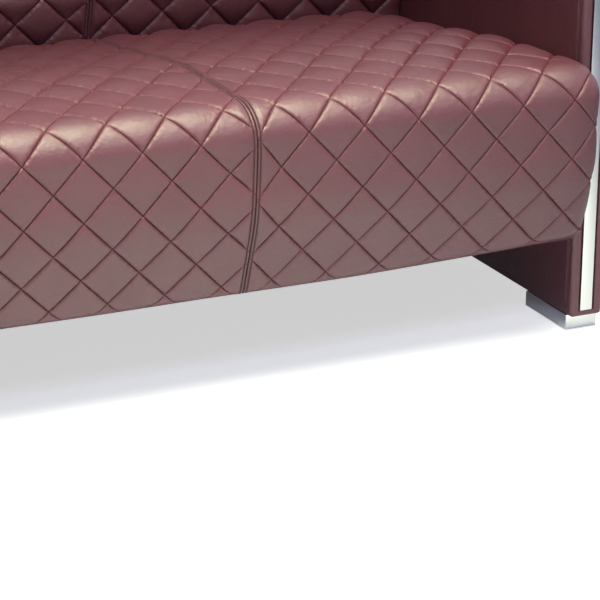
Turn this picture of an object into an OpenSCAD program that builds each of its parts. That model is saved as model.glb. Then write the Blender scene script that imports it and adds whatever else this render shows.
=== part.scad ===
// Three-seat sofa with quilted seat and back, slab arms with inlaid steel strips, and low chromed feet.
// The sofa stands on Z = 0, faces -Y, and its origin is at the middle of its footprint.

/* [Overall] */
// Depth from the nose of the seat to the rear of the back
overall_d = 846; // [780:1:950]
// Height of the back above the floor
back_h = 790; // [720:1:860]

/* [Seat] */
// Width of the middle panel of the seat and back
middle_w = 595; // [500:1:680]
// Width of each end panel of the seat and back
end_w = 560; // [480:1:640]
// Height of the crown of the seat
seat_h = 444; // [420:1:480]
// How much lower the seat is at its rear
seat_fall = 44; // [20:1:70]
// How much lower the seat is at its nose
nose_fall = 4; // [0:1:20]
// Height of the underside of the seat
seat_base_h = 150; // [120:1:180]
// How far the nose stands in front of the arms
nose_out = 78; // [50:1:110]
// How far the waist of the front face stands in front of the arms
waist_out = 72; // [44:1:100]
// Height of the waist of the front face
waist_h = 275; // [240:1:320]
// How far the bottom of the front face stands in front of the arms
base_out = 36; // [10:1:50]
// Radius of the roll at the nose
nose_r = 52; // [30:1:60]
// How far the foam stops short of the seat's end walls, where the cover falls away
end_relief = 21; // [12:1:40]
// Thickness of the quilted cover with its wadding
cover_t = 12; // [8:0.5:16]
// Gap between each end of the seat and its arm
end_gap = 1; // [0.5:0.1:3]

/* [Back] */
// Depth of the back at its foot
back_d = 192; // [170:1:220]
// How far the most forward point of the back stands in front of its foot
lumbar_out = 20; // [8:1:40]
// Height of the most forward point of the back
lumbar_h = 455; // [435:1:490]
// Height at which the back tucks in behind the seat
tuck_h = 380; // [340:1:400]
// How far the top of the back leans behind the lumbar point
back_rake = 50; // [20:1:80]
// Radius of the roll along the top of the back
back_roll_r = 42; // [20:1:55]
// Distance from the top of the back down to the seam with the rear panel
rear_seam_drop = 60; // [55:1:130]

/* [Arms] */
// Thickness of an arm
arm_t = 56; // [48:1:90]
// Height of an arm above the floor
arm_h = 610; // [560:1:680]
// Radius of the upper corners of an arm seen from its side
arm_corner_r = 36; // [20:1:60]
// Radius of the padded edges of an arm
arm_edge_r = 6; // [3:0.5:8]
// Thickness of the padded skin of an arm
arm_skin = 10; // [8:0.5:12]
// Width of the steel strip
trim_w = 23; // [16:1:26]
// Thickness of the steel strip
trim_t = 3; // [2:0.5:4]
// Shadow gap on each side of the steel strip
trim_gap = 1.2; // [0.5:0.1:2]
// Height of the lower ends of the steel strip above the underside of the arm
trim_lift = 9; // [5:1:30]

/* [Feet] */
// Height of the feet
foot_h = 25; // [20:1:40]
// Width of a foot across the arm
foot_w = 54; // [40:1:56]
// Length of a foot along the arm
foot_l = 122; // [80:1:160]
// Distance from the front of the arm to the foot
foot_setback = 14; // [5:1:30]
// Wall thickness of the folded metal of a foot
foot_wall = 2; // [1.5:0.1:3]

/* [Frame] */
// Thickness of the seat rails
rail_t = 28; // [22:1:32]
// Height of the seat rails
rail_h = 90; // [70:1:100]
// Diameter of the spring wire
wire_d = 4; // [3:0.5:5]
// Rough distance between the neighbouring bars of a spring
spring_pitch = 52; // [44:1:60]
// Overall width of a spring
spring_w = 72; // [66:1:80]
// Number of springs under one panel of the seat
springs_per_panel = 4; // [3:1:4]
// Depth of the posts and rails of the back frame
post_d = 60; // [40:1:70]
// Width of the posts of the back frame
post_w = 40; // [30:1:50]
// Width of the webbing straps
strap_w = 50; // [30:1:60]

/* [Hidden] */

// Overrun of every cutting shape past the faces that it cuts
cut = 2;
// Clearance between parts that lie against each other
seat_clear = 0.3;
// Facets of a round hole, pin or wire
round_fn = 32;
// Steps in the arc of a rounded corner
arc_steps = 8;

// Panels as [lowest x, highest x], from left to right, and the space between the arms
seam_x = middle_w / 2;
seat_w = middle_w + 2 * end_w;
panels = [[-seat_w / 2, -seam_x], [-seam_x, seam_x], [seam_x, seat_w / 2]];
inner_w = seat_w + 2 * end_gap;
overall_w = inner_w + 2 * arm_t;
arm_front = -overall_d / 2 + nose_out;
rear = overall_d / 2;
// Space between the seat and the foot of the back
back_gap = 4;
back_front = rear - back_d;
seat_rear = back_front - back_gap;
// Thickness of the plain wall that closes each end of the seat and back
end_wall = 6;
// Radius of the plan corners at the ends of the seat's front
end_corner_r = 26;
// Radius where the front face turns under the seat
under_r = 18;
// Radius of the waist of the front face
waist_r = 240;
// Distance from the front of the arms to the crown of the seat
crown_y = 190;
// Radius of the crown of the seat
crown_r = 900;
// Radius at the rear upper edge of the seat
seat_rear_r = 20;
// Width of the lip of cover that is stapled under the seat
under_lip = 60;
// Half the width of the opening under the seat that the dust cover closes
open_half = seat_w / 2 - under_lip;

// Seat frame
rail_z = seat_base_h + cover_t;
rail_top = rail_z + rail_h;
// Foam between the front cover and the front rail
front_foam = 44;
front_rail_y = arm_front - base_out + front_foam;
rear_rail_y = seat_rear - cover_t - seat_clear - rail_t;
frame_half = seat_w / 2 - end_wall - seat_clear;
block_leg = 45;
dust_t = 1.5;
dust_edge = 0.5;

// Springs, clips and pad
clip_t = 1.2;
clip_clear = 0.15;
clip_w = 22;
clip_tail = 10;
pad_t = 4;
spring_start = front_rail_y + rail_t / 2;
spring_room = rear_rail_y + rail_t / 2 - spring_start;
spring_bends = round(spring_room / spring_pitch);
spring_step = spring_room / spring_bends;
bend_r = spring_step / 2;
bar_half = spring_w / 2 - bend_r;
pad_z = rail_top + wire_d + clip_t + clip_clear + seat_clear;
foam_z = pad_z + pad_t;

// Back
rear_seam_h = back_h - rear_seam_drop;
tuck_r = 14;
lumbar_r = 60;
back_rear_r = 28;
panel_t = cover_t;
post_y = rear - panel_t - seat_clear - post_d;
back_rail_h = 60;
top_foam = 20;
post_top = back_h - cover_t - top_foam - back_rail_h / 2;
strap_t = 2;
straps_per_panel = 3;
strap_rows = 4;

// Arms
arm_z = foot_h;
trim_sink = 0.5;
stile_w = 60;
rib_w = 45;
window_r = 18;
window_cols = 3;
window_rows = 2;
arm_rear = rear;

// Feet and fixings
glide_t = 4;
glide_proud = 1;
foot_plate = 3;
foot_hole_share = 0.3;
screw_d = 5;
screw_head_d = 10;
screw_head_t = 3;
screw_l = 34;
bolt_d = 8;
bolt_head_d = 16;
bolt_head_t = 5;
bolt_hole_clear = 0.4;
tee_d = 10.5;
tee_l = 14;
tee_flange_d = 24;
tee_flange_t = 2;
thread_clear = 0.1;
// Places of the seat's bolts along the side rails, and of the back's bolts up the arms
rail_bolt_shares = [0.14, 0.5, 0.86];
post_bolt_shares = [0.5, 0.84];

// Colours
wood = "burlywood";
leather = [0.42, 0.22, 0.25];
leather_dark = [0.33, 0.16, 0.19];
steel = [0.78, 0.78, 0.8];
foam = "khaki";
cloth = [0.12, 0.12, 0.12];

// Outline of the seat seen from its side, as [y, z], anticlockwise
seat_points = [
    [arm_front - base_out, seat_base_h],
    [seat_rear, seat_base_h],
    [seat_rear, seat_h - seat_fall],
    [arm_front + crown_y, seat_h],
    [arm_front - nose_out, seat_h - nose_fall],
    [arm_front - waist_out, waist_h]];
seat_radii = [under_r, 0, seat_rear_r, crown_r, nose_r, waist_r];

// Outline of the back seen from its side
back_points = [
    [back_front, seat_base_h],
    [rear, seat_base_h],
    [rear, back_h],
    [back_front - lumbar_out + back_rake, back_h],
    [back_front - lumbar_out, lumbar_h],
    [back_front, tuck_h]];
back_radii = [0, 0, back_rear_r, back_roll_r, lumbar_r, tuck_r];

function unit(v) = v / norm(v);
function left_of(v) = [-v.y, v.x];
function next(p, i, step) = p[(i + step + len(p)) % len(p)];
function turn(p, i) = cross(unit(p[i] - next(p, i, -1)), unit(next(p, i, 1) - p[i]));

// Tangent arc of radius r that replaces the corner b between a and c
function corner_arc(a, b, c, r) =
    let (u = unit(a - b), v = unit(c - b), half = acos(u * v) / 2)
    let (centre = b + unit(u + v) * r / sin(half), p = b + u * r / tan(half) - centre)
    let (way = cross(u, v) > 0 ? -1 : 1, sweep = way * (180 - 2 * half))
    [for (i = [0 : arc_steps]) let (t = sweep * i / arc_steps)
        centre + [p.x * cos(t) - p.y * sin(t), p.x * sin(t) + p.y * cos(t)]];

function rounded(p, r) = [for (i = [0 : len(p) - 1])
    each (r[i] > 0 ? corner_arc(next(p, i, -1), p[i], next(p, i, 1), r[i]) : [p[i]])];

// Anticlockwise outline p moved inwards by t, and its corner radii
function inset(p, t) = [for (i = [0 : len(p) - 1])
    let (m = left_of(unit(p[i] - next(p, i, -1))), n = left_of(unit(next(p, i, 1) - p[i])))
    p[i] + (m + n) * t / (1 + m * n)];
function inset_radii(p, r, t) = [for (i = [0 : len(p) - 1])
    r[i] > 0 ? (turn(p, i) > 0 ? max(r[i] - t, 0) : r[i] + t) : 0];

function box_points(lo, hi) = [lo, [hi.x, lo.y], hi, [lo.x, hi.y]];

// A side outline drawn as [y, z], extruded along X from x0 to x1
module side_extrude(x0, x1) {
    translate([x0, 0, 0]) rotate([90, 0, 90]) linear_extrude(x1 - x0) children();
}

// A front outline drawn as [x, z], extruded along Y from y0 to y1
module front_extrude(y0, y1) {
    translate([0, y1, 0]) rotate([90, 0, 0]) linear_extrude(y1 - y0) children();
}

module block(lo, hi) {
    translate(lo) cube(hi - lo);
}

module bar_x(d, x0, x1, y, z) {
    translate([x0, y, z]) rotate([0, 90, 0]) cylinder(d = d, h = x1 - x0, $fn = round_fn);
}

module profile(points, radii, t) {
    polygon(rounded(inset(points, t), inset_radii(points, radii, t)));
}

// Seat frame

module rail(y, half, z, size) {
    block([-half, y, z], [half, y + size.x, z + size.y]);
}

// The bolts that hold the seat and the back to each arm, as [y, z, thickness of the wood under the head]
seat_bolts = [for (share = rail_bolt_shares)
    [front_rail_y + rail_t + share * (rear_rail_y - front_rail_y - rail_t), rail_z + rail_h / 2, rail_t]];
post_bolts = [for (share = post_bolt_shares) [post_y + post_d / 2, share * arm_h, post_w]];

// Holes of diameter d for the given bolts, on one side of the sofa from the distance x0 outwards
module bolt_holes(bolts, side, d, x0) {
    mirrored(side) for (b = bolts)
        bar_x(d, x0, overall_w / 2, b.x, b.y);
}

module seat_front_rail() {
    color(wood) rail(front_rail_y, frame_half, rail_z, [rail_t, rail_h]);
}

module seat_rear_rail() {
    color(wood) rail(rear_rail_y, frame_half, rail_z, [rail_t, rail_h]);
}

module seat_side_rails() {
    color(wood) for (side = [-1, 1]) difference() {
        block([side > 0 ? frame_half - rail_t : -frame_half, front_rail_y + rail_t, rail_z],
            [side > 0 ? frame_half : rail_t - frame_half, rear_rail_y, rail_top]);
        bolt_holes(seat_bolts, side, bolt_d + bolt_hole_clear, frame_half - rail_t - cut);
    }
}

module seat_cross_rails() {
    color(wood) for (x = [-seam_x, seam_x])
        block([x - rail_t / 2, front_rail_y + rail_t, rail_z], [x + rail_t / 2, rear_rail_y, rail_top]);
}

// Triangular glue block in the corner at (x, y), pointing along (sx, sy)
module corner_block(x, y, sx, sy) {
    translate([0, 0, rail_z]) linear_extrude(rail_h)
        polygon([[x, y], [x + sx * block_leg, y], [x, y + sy * block_leg]]);
}

module seat_corner_blocks() {
    inner = frame_half - rail_t;
    cross_x = seam_x + rail_t / 2;
    color(wood) for (sx = [-1, 1]) {
        corner_block(sx * inner, front_rail_y + rail_t, -sx, 1);
        corner_block(sx * inner, rear_rail_y, -sx, -1);
        corner_block(sx * cross_x, front_rail_y + rail_t, sx, 1);
        corner_block(sx * cross_x, rear_rail_y, sx, -1);
    }
}

// One zigzag spring of round wire, lying on the rails with its middle at x
module zigzag_spring(x) {
    translate([x, spring_start, rail_top + wire_d / 2]) {
        for (i = [0 : spring_bends])
            bar_x(wire_d, -bar_half, bar_half, i * spring_step, 0);
        for (i = [0 : spring_bends - 1])
            translate([(i % 2 == 0 ? 1 : -1) * bar_half, i * spring_step + bend_r, 0])
                rotate([0, 0, i % 2 == 0 ? -90 : 90])
                    rotate_extrude(angle = 180, $fn = round_fn)
                        translate([bend_r, 0]) circle(d = wire_d, $fn = round_fn);
    }
}

// Places that share out each panel's width evenly, count to a panel
function across(count) = [for (p = panels) for (i = [1 : count]) p.x + i * (p.y - p.x) / (count + 1)];
spring_xs = across(springs_per_panel);

module seat_springs() {
    color(steel) for (x = spring_xs) zigzag_spring(x);
}

// Clip that holds the end bar of a spring on a rail, with its tail towards way
module spring_clip(x, y, way) {
    inner_r = wire_d / 2 + clip_clear;
    side_extrude(x - clip_w / 2, x + clip_w / 2) translate([y, rail_top]) {
        difference() {
            translate([0, wire_d / 2]) circle(r = inner_r + clip_t, $fn = round_fn);
            translate([0, wire_d / 2]) circle(r = inner_r, $fn = round_fn);
            translate([-spring_w, -spring_w]) square([2 * spring_w, spring_w]);
            translate([way > 0 ? -spring_w : 0, -spring_w])
                square([spring_w, spring_w + wire_d / 2]);
        }
        translate([way > 0 ? inner_r : -inner_r - clip_tail, 0]) square([clip_tail, clip_t]);
    }
}

module spring_clips() {
    color(steel) for (x = spring_xs) {
        spring_clip(x, spring_start, -1);
        spring_clip(x, spring_start + spring_room, 1);
    }
}

module spring_pad() {
    color("dimgray") block([-frame_half, front_rail_y, pad_z], [frame_half, rear_rail_y + rail_t, foam_z]);
}

// Seat upholstery

module seat_foam() {
    half = frame_half - end_relief;
    color(foam) difference() {
        side_extrude(-half, half) profile(seat_points, seat_radii, cover_t + seat_clear);
        block([-seat_w, front_rail_y - seat_clear, 0], [seat_w, seat_rear + cut, foam_z]);
    }
}

// Plan outline that rounds the two front corners of the seat
module seat_plan() {
    plan = box_points([-seat_w / 2, arm_front - nose_out], [seat_w / 2, seat_rear]);
    linear_extrude(back_h) polygon(rounded(plan, [end_corner_r, end_corner_r, 0, 0]));
}

module seat_cover_shell(x0, x1) {
    difference() {
        side_extrude(x0, x1) profile(seat_points, seat_radii, 0);
        side_extrude(x0 - cut, x1 + cut) profile(seat_points, seat_radii, cover_t);
        block([max(x0 - cut, -open_half), arm_front - base_out + under_lip, 0],
            [min(x1 + cut, open_half), seat_rear - under_lip, rail_z + cut]);
    }
}

// Plain wall that closes the outer end of the seat, with the holes for the arm bolts
module seat_end_wall(side) {
    outer = side * seat_w / 2;
    inner = side * (seat_w / 2 - end_wall);
    difference() {
        side_extrude(min(outer, inner), max(outer, inner)) profile(seat_points, seat_radii, 0);
        bolt_holes(seat_bolts, side, bolt_d + bolt_hole_clear, frame_half);
    }
}

module seat_cover_end(side) {
    panel = panels[1 + side];
    color(leather) intersection() {
        union() {
            seat_cover_shell(panel.x, panel.y);
            seat_end_wall(side);
        }
        seat_plan();
    }
}

module seat_cover_middle() {
    color(leather) seat_cover_shell(-seam_x, seam_x);
}

module dust_cover() {
    z = rail_z - dust_t;
    color(cloth) {
        block([dust_edge - open_half, arm_front - base_out + under_lip + dust_edge, z],
            [open_half - dust_edge, seat_rear - under_lip - dust_edge, rail_z]);
        block([-frame_half, back_front + cover_t + dust_edge, z],
            [frame_half, rear - panel_t - dust_edge, rail_z]);
    }
}

// Back

module back_posts() {
    outer = frame_half - post_w / 2;
    color(wood) difference() {
        for (x = [-outer, -seam_x, seam_x, outer])
            block([x - post_w / 2, post_y, rail_z + back_rail_h],
                [x + post_w / 2, post_y + post_d, post_top]);
        for (side = [-1, 1])
            bolt_holes(post_bolts, side, bolt_d + bolt_hole_clear, frame_half - post_w - cut);
    }
}

module back_top_rail() {
    color(wood) rail(post_y, frame_half, post_top, [post_d, back_rail_h / 2]);
}

module back_bottom_rail() {
    color(wood) rail(post_y, frame_half, rail_z, [post_d, back_rail_h]);
}

module back_webbing() {
    reach = back_rail_h / 2;
    low = rail_z + back_rail_h - reach;
    row_gap = (post_top - rail_z - back_rail_h) / (strap_rows + 1);
    color(cloth) {
        for (x = across(straps_per_panel))
            block([x - strap_w / 2, post_y - strap_t, low], [x + strap_w / 2, post_y, post_top + reach]);
        for (i = [1 : strap_rows])
            block([-frame_half, post_y - 2 * strap_t, rail_z + back_rail_h + i * row_gap - strap_w / 2],
                [frame_half, post_y - strap_t, rail_z + back_rail_h + i * row_gap + strap_w / 2]);
    }
}

module back_foam() {
    color(foam) difference() {
        side_extrude(-frame_half, frame_half) profile(back_points, back_radii, cover_t + seat_clear);
        block([-seat_w, post_y - 2 * strap_t - seat_clear, 0],
            [seat_w, rear + cut, post_top + back_rail_h / 2 + seat_clear]);
    }
}

module back_cover_shell(x0, x1) {
    difference() {
        side_extrude(x0, x1) profile(back_points, back_radii, 0);
        side_extrude(x0 - cut, x1 + cut) profile(back_points, back_radii, cover_t);
        block([x0 - cut, rear - panel_t - seat_clear, 0], [x1 + cut, rear + cut, rear_seam_h]);
        block([x0 - cut, back_front + cover_t, 0], [x1 + cut, rear + cut, rail_z]);
    }
}

module back_cover(place) {
    panel = panels[1 + place];
    outer = place * seat_w / 2;
    inner = place * (seat_w / 2 - end_wall);
    color(leather) {
        back_cover_shell(panel.x, panel.y);
        if (place != 0) difference() {
            side_extrude(min(outer, inner), max(outer, inner)) profile(back_points, back_radii, 0);
            block([-seat_w, rear - panel_t - seat_clear, 0], [seat_w, rear + cut, rear_seam_h]);
            bolt_holes(post_bolts, place, bolt_d + bolt_hole_clear, frame_half);
        }
    }
}

module back_rear_panel() {
    color(leather_dark) block([-seat_w / 2, rear - panel_t, seat_base_h],
        [seat_w / 2, rear, rear_seam_h - seat_clear]);
}

// Arms. Each is drawn on the right and mirrored for the left.

arm_points = box_points([arm_front, arm_z], [arm_rear, arm_h]);
arm_radii = [0, 0, arm_corner_r, arm_corner_r];
arm_x0 = inner_w / 2;
arm_x1 = overall_w / 2;

arm_bolts_yz = concat(seat_bolts, post_bolts);

module mirrored(side) {
    if (side > 0) children();
    else mirror([1, 0, 0]) children();
}

module arm_slab() {
    plan = box_points([arm_x0, arm_front], [arm_x1, arm_rear]);
    face = box_points([arm_x0, arm_z], [arm_x1, arm_h]);
    intersection() {
        side_extrude(arm_x0, arm_x1) polygon(rounded(arm_points, arm_radii));
        linear_extrude(back_h) polygon(rounded(plan, [for (p = plan) arm_edge_r]));
        front_extrude(arm_front, arm_rear) polygon(rounded(face, [0, 0, arm_edge_r, arm_edge_r]));
    }
}

module arm_frame(side) {
    skin = arm_skin + seat_clear;
    x0 = arm_x0 + skin;
    x1 = arm_x1 - skin;
    low = [arm_front + skin + stile_w, rail_top + stile_w / 2];
    high = [arm_rear - skin - stile_w, arm_h - skin - stile_w];
    window = [(high.x - low.x - (window_cols - 1) * rib_w) / window_cols,
        (high.y - low.y - (window_rows - 1) * rib_w) / window_rows];
    color(wood) mirrored(side) difference() {
        side_extrude(x0, x1) difference() {
            profile(arm_points, arm_radii, skin);
            for (i = [0 : window_cols - 1]) for (j = [0 : window_rows - 1]) {
                corner = low + [i * (window.x + rib_w), j * (window.y + rib_w)];
                points = box_points(corner, corner + window);
                polygon(rounded(points, [for (p = points) window_r]));
            }
        }
        for (b = arm_bolts_yz) {
            bar_x(tee_d, x0 - cut, x1 + cut, b.x, b.y);
            bar_x(tee_flange_d, x1 - tee_flange_t, x1 + cut, b.x, b.y);
        }
        foot_screw_holes(screw_d + 2 * thread_clear);
    }
}

// The path of the strip: t = 0 is its outer face, t = trim_t its inner face
module trim_ring(x0, x1, t0, t1, low) {
    difference() {
        side_extrude(x0, x1) profile(arm_points, arm_radii, t0);
        side_extrude(x0 - cut, x1 + cut) profile(arm_points, arm_radii, t1);
        block([x0 - cut, arm_front + t1, 0], [x1 + cut, arm_rear - t1, arm_z + t1 + cut]);
        block([x0 - cut, arm_front - cut, 0], [x1 + cut, arm_rear + cut, low]);
    }
}

arm_mid = (arm_x0 + arm_x1) / 2;

module arm_cover(side) {
    skin = arm_skin;
    groove = trim_w / 2 + trim_gap;
    color(leather_dark) mirrored(side) difference() {
        arm_slab();
        side_extrude(arm_x0 + skin, arm_x1 - skin) profile(arm_points, arm_radii, skin);
        trim_ring(arm_mid - groove, arm_mid + groove, -cut, trim_sink + trim_t, arm_z + trim_lift - trim_gap);
        for (b = arm_bolts_yz)
            bar_x(bolt_d + bolt_hole_clear, arm_x0 - cut, arm_x0 + skin + cut, b.x, b.y);
        foot_screw_holes(screw_d + 2 * thread_clear);
    }
}

module arm_trim(side) {
    color(steel) mirrored(side)
        trim_ring(arm_mid - trim_w / 2, arm_mid + trim_w / 2, trim_sink, trim_sink + trim_t,
            arm_z + trim_lift);
}

// Feet

front_foot_y = arm_front + foot_setback;
rear_foot_y = arm_rear - foot_setback - foot_l;

function foot_hole_y(y, end) = y + foot_l / 2 + end * foot_hole_share * foot_l;

module foot_screw_holes(d) {
    for (y = [front_foot_y, rear_foot_y]) for (end = [-1, 1])
        translate([arm_mid, foot_hole_y(y, end), 0]) cylinder(d = d, h = foot_h + screw_l, $fn = round_fn);
}

module foot(side, y) {
    x0 = arm_mid - foot_w / 2;
    x1 = arm_mid + foot_w / 2;
    color(steel) mirrored(side) difference() {
        block([x0, y, glide_proud], [x1, y + foot_l, foot_h]);
        block([x0 + foot_wall, y + foot_wall, 0],
            [x1 - foot_wall, y + foot_l - foot_wall, foot_h - foot_plate]);
        foot_screw_holes(screw_d + bolt_hole_clear);
    }
}

module foot_glides() {
    x0 = arm_mid - foot_w / 2 + foot_wall + seat_clear;
    x1 = arm_mid + foot_w / 2 - foot_wall - seat_clear;
    edge = foot_wall + seat_clear;
    color(cloth) for (side = [-1, 1]) for (y = [front_foot_y, rear_foot_y]) mirrored(side)
        block([x0, y + edge, 0], [x1, y + foot_l - edge, glide_t]);
}

module foot_screws() {
    head_z = foot_h - foot_plate - seat_clear;
    color(steel) for (side = [-1, 1]) for (y = [front_foot_y, rear_foot_y]) for (end = [-1, 1])
        mirrored(side) translate([arm_mid, foot_hole_y(y, end), 0]) {
            translate([0, 0, head_z]) cylinder(d = screw_d, h = screw_l - foot_plate, $fn = round_fn);
            translate([0, 0, head_z - screw_head_t])
                cylinder(d = screw_head_d, h = screw_head_t, $fn = round_fn);
        }
}

// Fixings that hold the seat and the back to the arms

module arm_bolts() {
    tip_x = arm_x1 - arm_skin - seat_clear;
    color(steel) for (side = [-1, 1]) for (b = arm_bolts_yz) mirrored(side) {
        bar_x(bolt_head_d, frame_half - b.z - bolt_head_t, frame_half - b.z, b.x, b.y);
        bar_x(bolt_d, frame_half - b.z, tip_x, b.x, b.y);
    }
}

module tee_nuts() {
    face = arm_x1 - arm_skin - seat_clear;
    color(steel) for (side = [-1, 1]) for (b = arm_bolts_yz) mirrored(side) difference() {
        union() {
            bar_x(tee_d - 2 * thread_clear, face - tee_l, face, b.x, b.y);
            bar_x(tee_flange_d - seat_clear, face - tee_flange_t, face, b.x, b.y);
        }
        bar_x(bolt_d + 2 * thread_clear, face - tee_l - cut, face + cut, b.x, b.y);
    }
}

seat_front_rail();
seat_rear_rail();
seat_side_rails();
seat_cross_rails();
seat_corner_blocks();
seat_springs();
spring_clips();
spring_pad();
seat_foam();
seat_cover_end(-1);  // seat_cover_left
seat_cover_middle();
seat_cover_end(1);  // seat_cover_right
dust_cover();
back_posts();
back_top_rail();
back_bottom_rail();
back_webbing();
back_foam();
back_cover(-1);  // back_cover_left
back_cover(0);  // back_cover_middle
back_cover(1);  // back_cover_right
back_rear_panel();
arm_frame(-1);  // left_arm_frame
arm_frame(1);  // right_arm_frame
arm_cover(-1);  // left_arm_cover
arm_cover(1);  // right_arm_cover
arm_trim(-1);  // left_arm_trim
arm_trim(1);  // right_arm_trim
foot(-1, front_foot_y);  // left_front_foot
foot(1, front_foot_y);  // right_front_foot
foot(-1, rear_foot_y);  // left_rear_foot
foot(1, rear_foot_y);  // right_rear_foot
foot_glides();
foot_screws();
arm_bolts();
tee_nuts();
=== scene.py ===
"""Dresses the frame of a quilted leather sofa and sets it on a pale studio floor."""

import math

import bmesh
import bpy
import numpy as np
from mathutils import Matrix, Vector


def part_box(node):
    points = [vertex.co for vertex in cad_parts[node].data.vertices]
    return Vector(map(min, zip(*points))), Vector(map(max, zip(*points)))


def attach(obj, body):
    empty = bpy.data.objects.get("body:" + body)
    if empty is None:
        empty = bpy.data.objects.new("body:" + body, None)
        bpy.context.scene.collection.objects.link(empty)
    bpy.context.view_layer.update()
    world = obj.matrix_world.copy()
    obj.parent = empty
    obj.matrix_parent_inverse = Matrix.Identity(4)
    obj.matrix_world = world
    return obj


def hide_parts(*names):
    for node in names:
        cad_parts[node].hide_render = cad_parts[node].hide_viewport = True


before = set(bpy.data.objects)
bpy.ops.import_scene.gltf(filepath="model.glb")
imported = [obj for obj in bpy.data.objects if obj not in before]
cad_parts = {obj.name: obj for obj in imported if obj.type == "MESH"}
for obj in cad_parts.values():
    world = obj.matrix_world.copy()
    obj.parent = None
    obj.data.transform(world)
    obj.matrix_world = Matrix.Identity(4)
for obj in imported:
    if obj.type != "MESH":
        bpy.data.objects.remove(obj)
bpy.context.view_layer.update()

bl_info = {
    "name": "Quilted sofa",
    "version": (1, 0, 0),
    "blender": (4, 5, 0),
    "location": "3D View > Sidebar > Sofa",
    "description": "Upholsters the sofa's frame in quilted leather and sets it on a studio floor",
    "category": "Object",
}

BODY = "root"
SEATS = ("left", "middle", "right")

# Places that the frame gives
SEAM_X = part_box("seat_cover_middle")[1][0]
SEAT_LO = Vector(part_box("seat_cover_middle")[0])
SEAT_HI = Vector(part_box("seat_cover_middle")[1])
BACK_LO = Vector(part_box("back_cover_middle")[0])
BACK_HI = Vector(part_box("back_cover_middle")[1])
ARM_LO = Vector(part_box("right_arm_cover")[0])
ARM_HI = Vector(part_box("right_arm_cover")[1])
TRIM_LO = Vector(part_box("right_arm_trim")[0])
TRIM_HI = Vector(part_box("right_arm_trim")[1])
PANEL_LO = Vector(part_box("back_rear_panel")[0])
PANEL_HI = Vector(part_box("back_rear_panel")[1])
ARM_FRONT = ARM_LO.y

# Places nearer to each other than this are one
TOUCH = 1e-6


class QuiltSettings(bpy.types.PropertyGroup):
    diamond: bpy.props.FloatProperty(
        name="Diamond width", description="Width of one diamond of the quilting",
        default=0.085, min=0.04, unit="LENGTH")
    front_step: bpy.props.FloatProperty(
        name="Front row step", description="Distance between rows of crossings on the front of the seat",
        default=0.045, min=0.02, unit="LENGTH")
    top_step: bpy.props.FloatProperty(
        name="Top row step", description="Distance between rows of crossings on the top of the seat",
        default=0.0538, min=0.02, unit="LENGTH")
    back_step: bpy.props.FloatProperty(
        name="Back row step", description="Distance between rows of crossings on the back",
        default=0.044, min=0.02, unit="LENGTH")
    slip: bpy.props.FloatProperty(
        name="Middle slip", description="How far the middle panels' stitching was sewn off centre",
        default=0.0075, unit="LENGTH")
    crease: bpy.props.FloatProperty(
        name="Crease depth", description="Depth of the sharp fold along each stitched line",
        default=0.0036, min=0, unit="LENGTH")
    crease_reach: bpy.props.FloatProperty(
        name="Crease reach", description="Distance from the line at which the fold has mostly opened out",
        default=0.0018, min=0.0005, unit="LENGTH")
    puff: bpy.props.FloatProperty(
        name="Puff", description="Height of the padding of a diamond above its folds",
        default=0.0042, min=0, unit="LENGTH")
    fullness: bpy.props.FloatProperty(
        name="Fullness", description="How flat the diamonds are on top and how steep at their edges",
        default=2.6, min=1.0, max=8.0)
    back_plump: bpy.props.FloatProperty(
        name="Back plumpness", description="How much fuller the diamonds of the back are", default=1.4, min=0)
    top_full: bpy.props.FloatProperty(
        name="Top fullness", description="How much fuller the diamonds on top of the seat are", default=0.38)
    rear_fall: bpy.props.FloatProperty(
        name="Rear fall", description="How far the seat's top falls towards the back", default=0.006,
        unit="LENGTH")
    rear_end_fall: bpy.props.FloatProperty(
        name="Rear end fall", description="How much further it falls beside the arms", default=0.024,
        unit="LENGTH")
    rear_end_reach: bpy.props.FloatProperty(
        name="Rear end reach", description="Distance from an arm over which it falls further", default=0.13,
        unit="LENGTH")
    foot_lift: bpy.props.FloatProperty(
        name="Foot lift", description="How far the seat's lower edge rises at the arms",
        default=0.017, unit="LENGTH")
    foot_reach: bpy.props.FloatProperty(
        name="Foot reach", description="Distance from an arm over which the lower edge rises",
        default=0.42, unit="LENGTH")
    front_flat: bpy.props.FloatProperty(
        name="Front flatness", description="Share of the padding's height on the front of the seat",
        default=0.62, min=0, max=1)
    cells: bpy.props.IntProperty(
        name="Cells", description="Faces along one side of a diamond", default=18, min=4, max=30)
    seam_rows: bpy.props.FloatProperty(
        name="Seam rows", description="Distance of each row of topstitching from the seam between panels",
        default=0.0048, unit="LENGTH")
    seam_bow: bpy.props.FloatProperty(
        name="Seam bow", description="How far the seams on the seat's front swing sideways",
        default=0.0062, unit="LENGTH")
    seam_depth: bpy.props.FloatProperty(
        name="Seam depth", description="How far the flat band along a seam lies below the diamonds",
        default=0.0034, unit="LENGTH")
    end_fall: bpy.props.FloatProperty(
        name="End fall", description="How far the seat's padding falls away at the arms",
        default=0.022, unit="LENGTH")
    end_reach: bpy.props.FloatProperty(
        name="End reach", description="Distance over which the seat's padding falls away at the arms",
        default=0.055, unit="LENGTH")


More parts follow.
